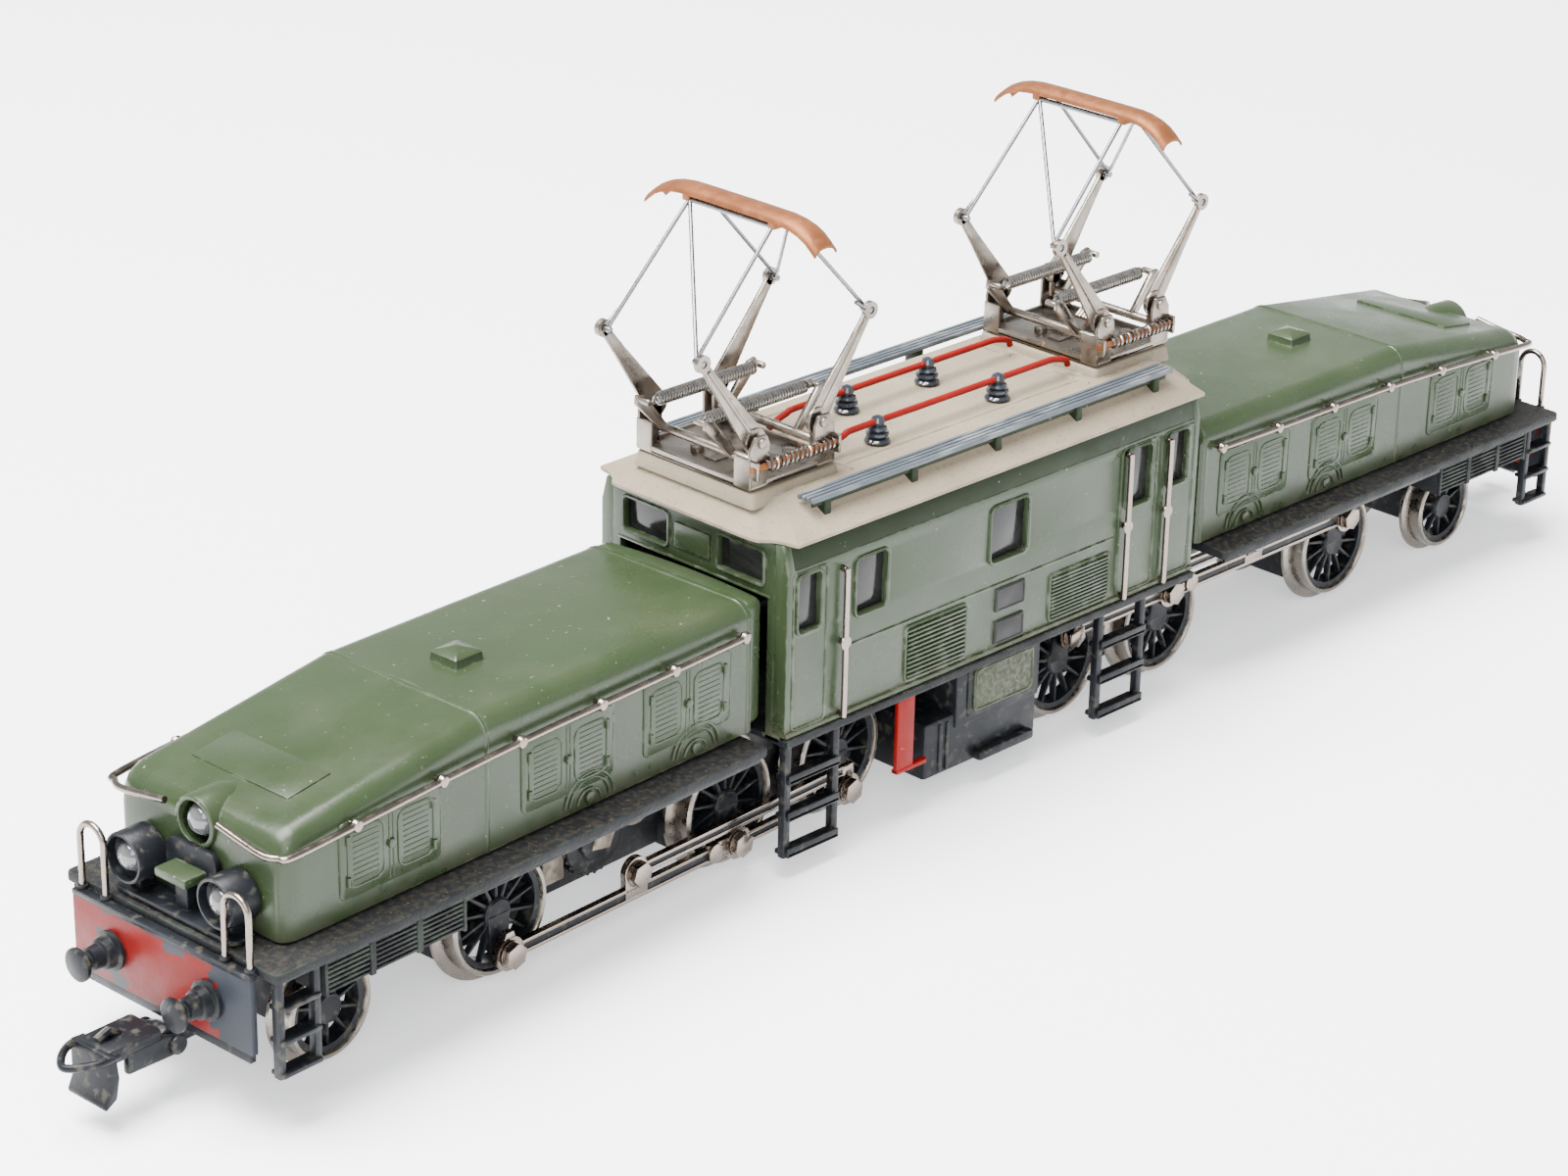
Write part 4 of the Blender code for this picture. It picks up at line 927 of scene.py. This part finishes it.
def side_wall(made, side):
    """One long wall with its windows, doors, louvres, belt, blank plates and rails."""
    y = side * CAB_Y
    face = y + side * 0.05

    def spread(a, b):
        return (a, b) if side < 0 else (-b, -a)

    holes = [(*spread(x0, x1), z0, z1) for x0, x1, z0, z1 in SIDE_WINDOWS]
    across = sorted((y, y - side * CAB_WALL))
    made.add(pierced((-CAB_X, CAB_Z[0]), (CAB_X, BAND_Z), holes, across), 0.2)
    # The slanted band under the eave takes the darker green: painted shade.
    slant = [(y, BAND_Z), (y - side * 0.9, CAB_Z[1] + 0.3), (y - side * 2.0, CAB_Z[1] + 0.3),
             (y - side * CAB_WALL, BAND_Z)]
    made.add(prism(slant, "x", 0.3 - CAB_X, CAB_X - 0.3), 0.08, 1)
    for a, b, z0, z1 in holes:
        made.add(bead((a - 0.25, b + 0.25), (z0 - 0.25, z1 + 0.25), face, 0.28, 0.9))
        pane = [(a, z0), (b, z0), (b, z1), (a, z1)]
        made.add(prism(pane, "y", y - side * 0.75, y - side * 0.95), 0.03, 2)
    for x0, x1, z0, z1 in LOUVRES:
        a, b = spread(x0, x1)
        made.add(bead((a, b), (z0, z1), face, 0.26, 0.5))
        for z in spaced(z0 + 0.6, z1 - 0.6, 11):
            made.add(box((a + 0.3, b - 0.3), (y - side * 0.1, y + side * 0.32), (z - 0.2, z + 0.14)), 0.1)
    for door in CAB_DOORS:
        made.add(bead(spread(*door), CAB_DOOR_Z, face - side * 0.02, 0.16, 0.6))
    made.add(tube([(x, face, 29.9) for x in spread(-29.4, 23.0)], 0.16, 6))
    made.add(box((-CAB_X, CAB_X), (y - side * 0.2, y + side * 0.35), (CAB_Z[0], CAB_Z[0] + 0.7)), 0.2)
    for x, z in PLATES:
        a, b = spread(x - 2.9, x + 2.9)
        made.add(box((a, b), (y - side * 0.1, y + side * 0.28), (z - 1.7, z + 1.7)), 0.15, 3)
        made.add(bead((a + 0.25, b - 0.25), (z - 1.45, z + 1.45), y + side * 0.3, 0.12, 0.3), 0, 3)
    for x, z0, z1 in SIDE_RAILS:
        x = x if side < 0 else -x
        out = y + side * 0.95
        middle = (z0 + z1) / 2
        route = [(x, y, z0), (x, out - side * 0.2, z0 + 0.15), (x, out, z0 + 0.8), (x, out, middle),
                 (x, out, z1 - 0.8), (x, out - side * 0.2, z1 - 0.15), (x, y, z1)]
        made.add(tube(curve(route, 5), 0.42, 12), 0, 4)
        made.add(turned("y", (x, middle), [(y, 0.4), (out - side * 0.4, 0.4), (out, 0.95),
                                           (out + side * 0.15, 0.9), (out + side * 0.3, 0.3)], 18),
                 0, 4)


def end_wall(made, end):
    """One end wall, open below for the hood, with two windows and a blank plate between them."""
    x = end * CAB_X
    half = CAB_Y - 0.9
    holes = [(a, b, *END_WINDOW_Z) for a, b in END_WINDOWS] + [(-13.4, 13.4, CAB_Z[0] - 1, 38.6)]
    across = sorted((x, x - end * CAB_WALL))
    made.add(swapped(pierced((-half, CAB_Z[0]), (half, CAB_Z[1]), holes, across)), 0.15)
    for a, b in END_WINDOWS:
        outline = rounded((a - 0.2, END_WINDOW_Z[0] - 0.2), (b + 0.2, END_WINDOW_Z[1] + 0.2), 0.8)
        made.add(tube([(x + end * 0.05, u, v) for u, v in outline], 0.26, 6, True))
        made.add(box((x - end * 0.7, x - end * 0.9), (a, b), END_WINDOW_Z), 0.03, 2)
    for side in (-1, 1):
        edge = CAB_Y + 0.05
        post = [(side * (CAB_Y - 2.2), CAB_Z[0]), (side * edge, CAB_Z[0]), (side * edge, BAND_Z),
                (side * (half + 0.06), CAB_Z[1] + 0.2), (side * (CAB_Y - 2.2), CAB_Z[1] + 0.2)]
        made.add(prism(post, "x", x + end * 0.04, x - end * (CAB_WALL + 0.1)), 0.18)
    made.add(box((x, x + end * 0.3), (-3.2, 3.2), (40.6, 44.0)), 0.15)
    made.add(box((x - end * 0.2, x + end * 0.15), (-13.9, 13.9), (38.6, 39.0)), 0.2)


def cab_walls():
    made = Piece(CAB, "cab_walls", "green", "green_painted_shade", "pane", "black_plate_and_recess_shade", "nickel")
    for side in (-1, 1):
        side_wall(made, side)
        end_wall(made, side)
    made.done("cab", "green_paint", "cab_shell")


def cab_base():
    """Floor plate under the cab with its four step ladders."""
    made = Piece(CAB, "cab_underfloor", "black", "board")
    plate = [(-CAB_X, -16.8), (CAB_X, -16.8), (CAB_X, 16.8), (-CAB_X, 16.8)]
    floor = prism(plate, "z", 19.0, 19.9)
    for side in (-1, 1):
        floor = carved(floor, disc("z", (side * PIVOT_X, 0), 3.6, (18, 21)))
    made.add(floor, 0.1)
    for side in (-1, 1):
        made.add(box((-CAB_X, CAB_X), on(side, 16.6, 17.6), (19.0, 20.1)), 0.2, 1)
        for ladder in LADDERS:
            x0, x1 = ladder if side < 0 else (-ladder[1], -ladder[0])
            for x in (x0, x1 - 1.2):
                made.add(box((x, x + 1.2), on(side, 15.7, 16.9), (3.0, 19.2)), 0.25)
            for z in (3.2, 8.4, 13.6):
                made.add(box((x0 + 0.3, x1 - 0.3), on(side, 14.9, 17.4), (z, z + 0.7)), 0.2)
                made.add(box((x0 + 0.3, x1 - 0.3), on(side, 17.1, 17.4), (z, z + 1.3)), 0.12)
    made.done("cab", "black_paint", "cab_floor")


def equipment():
    made = Piece(CAB, "equipment_case", "black", "green")
    made.add(box((-5.6, 11.2), (-15.0, 15.0), (9.6, 18.7)), 0.4)
    made.add(box((-11.2, 11.2), (-14.6, 14.6), (3.6, 11.8)), 0.5)
    for side in (-1, 1):
        span = on(side, 14.6, 15.3)
        outline = rounded((-3.6, 10.6), (10.1, 18.5), 0.9)
        made.add(prism(outline, "y", *span), 0.2)
        made.add(prism(rounded((-2.7, 11.4), (9.2, 17.8), 0.9), "y", *on(side, 15.2, 15.6)), 0.15, 1)
        made.add(bead((-2.4, 8.9), (11.7, 17.5), side * 15.6, 0.14, 0.7), 0, 1)
        for x in (-8.6, -7.2):
            made.add(box((x, x + 0.6), on(side, 14.4, 14.9), (4.2, 11.2)), 0.12)
        made.add(box((-1.5, 9.5), on(side, 14.4, 16.0), (3.8, 5.2)), 0.4)
    made.done("cab", "black_paint", "equipment_box")
    made = Piece(CAB, "changeover_blade", "red")
    strip = [(-18.4, 7.7), (-15.2, 7.7), (-15.2, 18.6), (-18.4, 18.6)]
    made.add(prism(strip, "y", -16.3, -15.6), 0.15)
    foot = [(-18.4, -16.4), (-12.8, -16.4), (-12.2, -15.9), (-12.6, -15.3), (-18.4, -15.3)]
    made.add(prism(foot, "z", 7.6, 8.2), 0.15)
    made.add(tube([(-17.9, -15.95, 8.0), (-17.9, -15.95, 18.0)], 0.4, 8))
    made.done("changeover_lever", "red_paint", "changeover_lever")


def cab_roof():
    corner = curve([(-EAVE_X, -12.0, 0), (-42.0, -13.2, 0), (-40.9, -14.3, 0), (-40.2, -15.6, 0),
                    (-39.9, -17.2, 0), (-39.6, -EAVE_Y, 0)], 4)
    plan = [(p.x, p.y) for p in corner]
    plan = plan + [(-x, y) for x, y in reversed(plan)]
    plan = plan + [(-x, -y) for x, y in plan]
    made = Piece(CAB, "cab_roof_shell", "roof", "walkway", "green_painted_shade")
    shoulder = [(39.6 * x / EAVE_X, 12.6 * y / EAVE_Y) for x, y in plan]
    top = [(39.0 * x / EAVE_X, 11.6 * y / EAVE_Y) for x, y in plan]
    levels = ((plan, 46.5), (plan, 46.95), (shoulder, 50.0), (top, DECK_Z))
    made.add(loft([[(x, y, z) for x, y in ring] for ring, z in levels]), 0.12)
    for side in (-1, 1):
        near, far = sorted(on(side, 24.6, 40.8))
        outline = rounded((near, -10.9), (far, 10.9), 0.8)
        low = [(x, y, 49.6) for x, y in outline]
        high = [(side * 32.7 + (x - side * 32.7) * 0.95, y * 0.96, PLINTH_Z) for x, y in outline]
        made.add(loft([low, high]), 0.25)
        for x in (-23.0, 23.0):
            made.add(box((x - 0.2, x + 0.2), on(side, 3.0, 11.2), (DECK_Z - 0.2, DECK_Z + 0.22)), 0.1)
        made.add(tube([(-23, side * 9.2, DECK_Z), (23, side * 9.2, DECK_Z)], 0.22, 6), 0, 0)
        for i in range(4):
            y = side * (13.05 + 0.76 * i)
            made.add(box((-35, 35), (y, y + side * SLAT), (50.45, 51.1)), 0.1, 1)
        # The brackets under the walkways take the darker green: painted shade.
        for x in spaced(-32, 32, 5):
            made.add(box((x - 0.6, x + 0.6), on(side, 13.2, 15.6), (47.6, 50.55)), 0.15, 2)
        made.add(box((-34.4, 34.4), on(side, 14.9, 15.2), (49.6, 50.5)), 0.1, 2)
    made.done("cab", "roof_paint", "cab_roof")


def roof_line(word, y, insulators):
    made = Piece(CAB, f"roof_cable_{word}", "red", "insulator")
    route = [(-23.4, y, 52.0), (-22.6, y, 52.6), (-20.2, y, LINE_Z - 0.3), (-18.4, y, LINE_Z),
             (-6, y, LINE_Z), (6, y, LINE_Z), (18.4, y, LINE_Z), (20.4, y, LINE_Z - 0.1),
             (22.8, y, 52.9), (23.4, y, 52.0)]
    made.add(tube(curve(route, 5), 0.45, 12))
    for x in insulators:
        low = DECK_Z + 0.05
        ribs = [(0.0, 1.5), (0.35, 1.75), (0.7, 1.5), (0.85, 1.0), (1.0, 1.0), (1.2, 1.55),
                (1.5, 1.5), (1.65, 0.85), (1.8, 0.85), (1.95, 1.3), (2.25, 1.2), (2.4, 0.7),
                (LINE_Z - 0.9 - low, 0.7), (LINE_Z - low, 1.0), (LINE_Z + 0.6 - low, 0.75),
                (LINE_Z + 0.85 - low, 0.15)]
        made.add(turned("z", (x, y), [(low + a, r) for a, r in ribs], 28), 0, 1)
    made.done("cab", "red_paint", f"roof_line_{word}")


# Pantographs

def panto_base(unit):
    x, y = BASE_HALF
    made = Piece(unit, "tray", "panto", "copper", "spring")
    made.add(prism(rounded((-x, -y), (x, y), 0.5), "z", BASE_Z, BASE_Z + 0.5), 0.12)
    px, pz = ARM_PIVOT
    ear = [(x, BASE_Z + 0.2), (x - 3.6, BASE_Z + 0.2), (px - 1.5, pz - 0.4), (px - 0.9, pz + 1.0),
           (px + 1.1, pz + 1.0), (x - 0.08, pz - 0.6)]
    for end in (-1, 1):
        made.add(box(on(end, x - 0.5, x), (-y, y), (BASE_Z, BASE_Z + 1.0)), 0.15)
        for side in (-1, 1):
            made.add(prism(flipped(end, ear), "y", *on(side, y - 0.5, y - 0.03)), 0.12)
            made.add(box(on(end, x - 0.45, x + 0.06), on(side, y - 2.8, y + 0.04),
                         (BASE_Z + 0.1, 56.2)), 0.15)
            made.add(disc("y", (end * px, pz), 0.7, on(side, y - 0.2, y + 0.35), 18), 0.12)
    for side in (-1, 1):
        made.add(box((-x + 3, x - 3), on(side, y - 0.5, y), (BASE_Z, BASE_Z + 0.9)), 0.15)
    near = -y - 0.55
    made.add(tube([(-x - 0.2, near, 55.0), (x + 0.2, near, 55.0)], 0.45, 14), 0, 1)
    made.add(helix((-x + 2.2, near, 55.0), (x - 0.6, near, 55.0), 0.72, 0.17, 15), 0, 2)
    for end in (-1, 1):
        made.add(box(on(end, x - 0.55, x - 0.04), (-y - 1.2, -y + 0.4), (53.6, 56.1)), 0.15)
    tab = curve([(3.0, 0, 52.4), (3.4, 0, 54.0), (2.4, 0, 55.2), (1.0, 0, 54.4)], 5)
    for offset in (-0.8, -0.3, 0.3, 0.8):
        made.add(tube([p + Vector((0, offset, 0)) for p in tab], 0.35, 8))
    made.add(box((-4.6, 2.4), (-1.1, 1.1), (BASE_Z + 0.4, BASE_Z + 0.8)), 0.12)
    for stud in ((-3.4, 3.4), (4.0, -5.6)):
        made.add(disc("z", stud, 0.9, (BASE_Z + 0.4, BASE_Z + 1.4), 20), 0.2)
    made.done("cab", "nickel", "base")


def lower_frame(unit, word, end):
    (px, pz), (tx, tz) = flipped(end, (ARM_PIVOT, TIP))
    along = Vector((tx - px, 0, tz - pz)).normalized()
    across = Vector((along.z, 0, -along.x))
    made = Piece(unit, f"arms_{word}", "panto")
    made.add(disc("y", (px, pz - CROSSBAR_DROP), 0.6, (-ARM_Y[1] + 0.1, ARM_Y[1] - 0.1), 18), 0.1)
    for side in (-1, 1):
        rings = []
        for share, half in ((0.0, 1.75), (0.35, 1.3), (0.7, 0.85), (1.0, 0.6)):
            centre = Vector((px, 0, pz)).lerp(Vector((tx, 0, tz)), share)
            rings.append([tuple(centre + across * u + Vector((0, side * v, 0)))
                          for u, v in ((-half, ARM_Y[0]), (half, ARM_Y[0]), (half, ARM_Y[1] - 0.2),
                                       (-half, ARM_Y[1] - 0.2))])
        made.add(loft(rings), 0.1)
        span = on(side, *ARM_Y)
        face = side * ARM_Y[1] - side * 0.2
        rib = [Vector((px, face, pz)).lerp(Vector((tx, face, tz)), share) for share in (0.1, 0.9)]
        made.add(tube(rib, 0.28, 8))
        made.add(disc("y", (px, pz), 1.75, span, 28), 0.15)
        made.add(eye((tx, tz), span, 1.15, 0.5, 28))
        made.add(box((px - 0.9, px + 0.9), span, (pz - CROSSBAR_DROP - 0.7, pz)), 0.2)
    for y in SPRING_Y:
        out = math.copysign(1, y)
        plate = sorted((y + out * (SPRING_R + 0.3), y + out * (SPRING_R + 1.0)))
        low = pz - CROSSBAR_DROP
        crank = [(px - end * 0.6, low), (px + end * 0.9, low),
                 (end * (CRANK_END + 0.6), SPRING_Z - 0.6), (end * (CRANK_END + 0.4), SPRING_Z + 0.6),
                 (end * (CRANK_END - 0.9), SPRING_Z + 0.3)]
        made.add(prism(crank, "y", *plate), 0.12)
        hook = sorted((y - out * 0.5, plate[0] + 0.3 if out > 0 else plate[1] - 0.3))
        made.add(disc("y", (end * CRANK_END, SPRING_Z), 0.45, hook, 16), 0.08)
    made.done(f"lower_frame_{word}", "nickel", f"lower_frame_{word}")


def upper_frame(unit, word, end):
    tip_y = WIRE_Y - 0.05
    (tx, tz), (mx, mz) = flipped(end, (TIP, MOUNT))
    made = Piece(unit, f"wires_{word}", "wire")
    for side in (-1, 1):
        route = [(tx, side * tip_y, tz), (tx - end * 0.3, side * tip_y, tz + 0.6), (mx, side * 7.3, mz)]
        made.add(tube(route, WIRE_R, 10))
        made.add(disc("y", (tx, tz), 0.42, on(side, 7.4, 9.1), 16), 0.08)
    made.add(tube([(mx, -7.5, mz), (mx, 7.5, mz)], 0.34, 10))
    made.add(tube([(tx, end * tip_y, tz), (mx, -end * 7.2, mz)], WIRE_R, 10))
    stub = -end
    made.add(tube([(tx, stub * 8.6, tz), (tx - end * 0.6, stub * 8.9, tz + 0.2),
                   (tx - end * 2.8, stub * 9.0, tz + 1.7)], 0.27, 8))
    made.done(f"upper_frame_{word}", "steel", f"upper_frame_{word}")


def shoe(unit):
    stations = [(-SHOE_HALF, -2.7), (-14.2, -2.0), (-13.2, -1.25), (-11.9, -0.65), (-10.4, -0.25),
                (-8.6, -0.04), (-4, 0.0)]
    stations += [(-y, drop) for y, drop in reversed(stations)]
    rings = []
    for y, drop in stations:
        z = SHOE_TOP + drop
        outer = [(2.0 * math.cos(a), y, z - 1.2 + 1.2 * math.sin(a))
                 for a in [math.pi * i / 10 for i in range(11)]]
        inner = [(1.7 * math.cos(a), y, z - 1.25 + 0.9 * math.sin(a))
                 for a in [math.pi * (10 - i) / 10 for i in range(11)]]
        rings.append(outer + inner)
    made = Piece(unit, "bow", "copper")
    made.add(loft(rings))
    for side in (-1, 1):
        made.add(box((-2.0, 2.0), on(side, 6.9, 8.2), (84.3, 85.3)), 0.2)
    made.done("shoe", "copper", "shoe")


def long_springs(unit):
    for y, word in zip(SPRING_Y, ("a", "b")):
        made = Piece(unit, f"coil_{word}", "spring")
        half = SPRING_HALF - 0.7
        made.add(helix((-half, y, SPRING_Z), (half, y, SPRING_Z), SPRING_R - 0.2, 0.2, 34))
        for end in (-1, 1):
            hook = [(end * half, y, SPRING_Z + 0.7), (end * (half + 0.5), y, SPRING_Z + 0.5),
                    (end * (half + 0.8), y, SPRING_Z), (end * (half + 0.5), y, SPRING_Z - 0.5)]
            made.add(tube(curve(hook, 4), 0.2, 6))
        made.done("springs", "steel", f"spring_{word}")


def pantograph(unit):
    panto_base(unit)
    for end, word in ((-1, "front"), (1, "rear")):
        lower_frame(unit, word, end)
        upper_frame(unit, word, end)
    shoe(unit)
    long_springs(unit)


# Studio

CAMERA_AT = (-363.77, -330.28, 236.96)
CAMERA_AZIMUTH, CAMERA_ELEVATION, CAMERA_ROLL = 45.762, 23.457, 1.237
LENS, SENSOR = 90.86, 36.0
SHIFT = (0.0035, -0.0022)
FLOOR_HALF = 6.0


def camera():
    data = bpy.data.cameras.new("camera")
    data.lens, data.sensor_width = LENS, SENSOR
    data.shift_x, data.shift_y = SHIFT
    data.clip_start, data.clip_end = 0.01, 50
    made = linked("camera", data)
    turn = Matrix.Identity(4)
    for degrees, axis in ((-CAMERA_AZIMUTH, "Z"), (90 - CAMERA_ELEVATION, "X"), (CAMERA_ROLL, "Z")):
        turn = turn @ Matrix.Rotation(math.radians(degrees), 4, axis)
    made.matrix_world = Matrix.Translation(MIDDLE + Vector(CAMERA_AT) * MM) @ turn
    bpy.context.scene.camera = made


def softbox(name, at, size, power, warmth=1.0):
    data = bpy.data.lights.new(name, "AREA")
    data.shape, data.size, data.energy = "SQUARE", size, power
    data.color = (1.0, 0.99 * warmth, 0.98 * warmth)
    made = linked(name, data)
    made.location = at
    made.rotation_euler = (Vector((0, 0, 0.02)) - Vector(at)).to_track_quat("-Z", "Y").to_euler()


def studio():
    mesh = bpy.data.meshes.new("floor")
    corners = [(x * FLOOR_HALF, y * FLOOR_HALF, 0) for x, y in ((-1, -1), (1, -1), (1, 1), (-1, 1))]
    mesh.from_pydata(corners, [], [[0, 1, 2, 3]])
    g = Graph("floor")
    g.shade({"Base Color": g.mix(g.noise(300), (0.88, 0.89, 0.91), (0.9, 0.91, 0.93)),
             "Roughness": 0.7, "Emission Color": (0.97, 0.98, 1.0), "Emission Strength": 0.75})
    mesh.materials.append(g.material)
    linked("floor", mesh)
    world = bpy.data.worlds.new("studio")
    world.use_nodes = True
    background = world.node_tree.nodes["Background"]
    background.inputs["Color"].default_value = (0.96, 0.98, 1.0, 1)
    where = world.node_tree.nodes.new("ShaderNodeTexCoord")
    split = world.node_tree.nodes.new("ShaderNodeSeparateXYZ")
    fade = world.node_tree.nodes.new("ShaderNodeMapRange")
    for name, value in (("From Min", 0.38), ("From Max", 0.62), ("To Min", 1.2), ("To Max", 0.5)):
        fade.inputs[name].default_value = value
    world.node_tree.links.new(where.outputs["Generated"], split.inputs[0])
    world.node_tree.links.new(split.outputs["Z"], fade.inputs["Value"])
    world.node_tree.links.new(fade.outputs["Result"], background.inputs["Strength"])
    bpy.context.scene.world = world
    softbox("key", (-0.35, 0.15, 1.15), 0.9, 95)
    softbox("front", (-0.8, -0.8, 0.8), 0.8, 16)


for truck_name in ("front_", "rear_"):
    truck(truck_unit(truck_name))
motor(truck_unit("front_"))
cab_walls()
cab_base()
equipment()
cab_roof()
for (line_y, *line_insulators), line_word in zip(ROOF_LINES, ("left", "right")):
    roof_line(line_word, line_y, line_insulators)
for panto_name in ("front_pantograph_", "rear_pantograph_"):
    pantograph(pantograph_unit(panto_name))
studio()
camera()
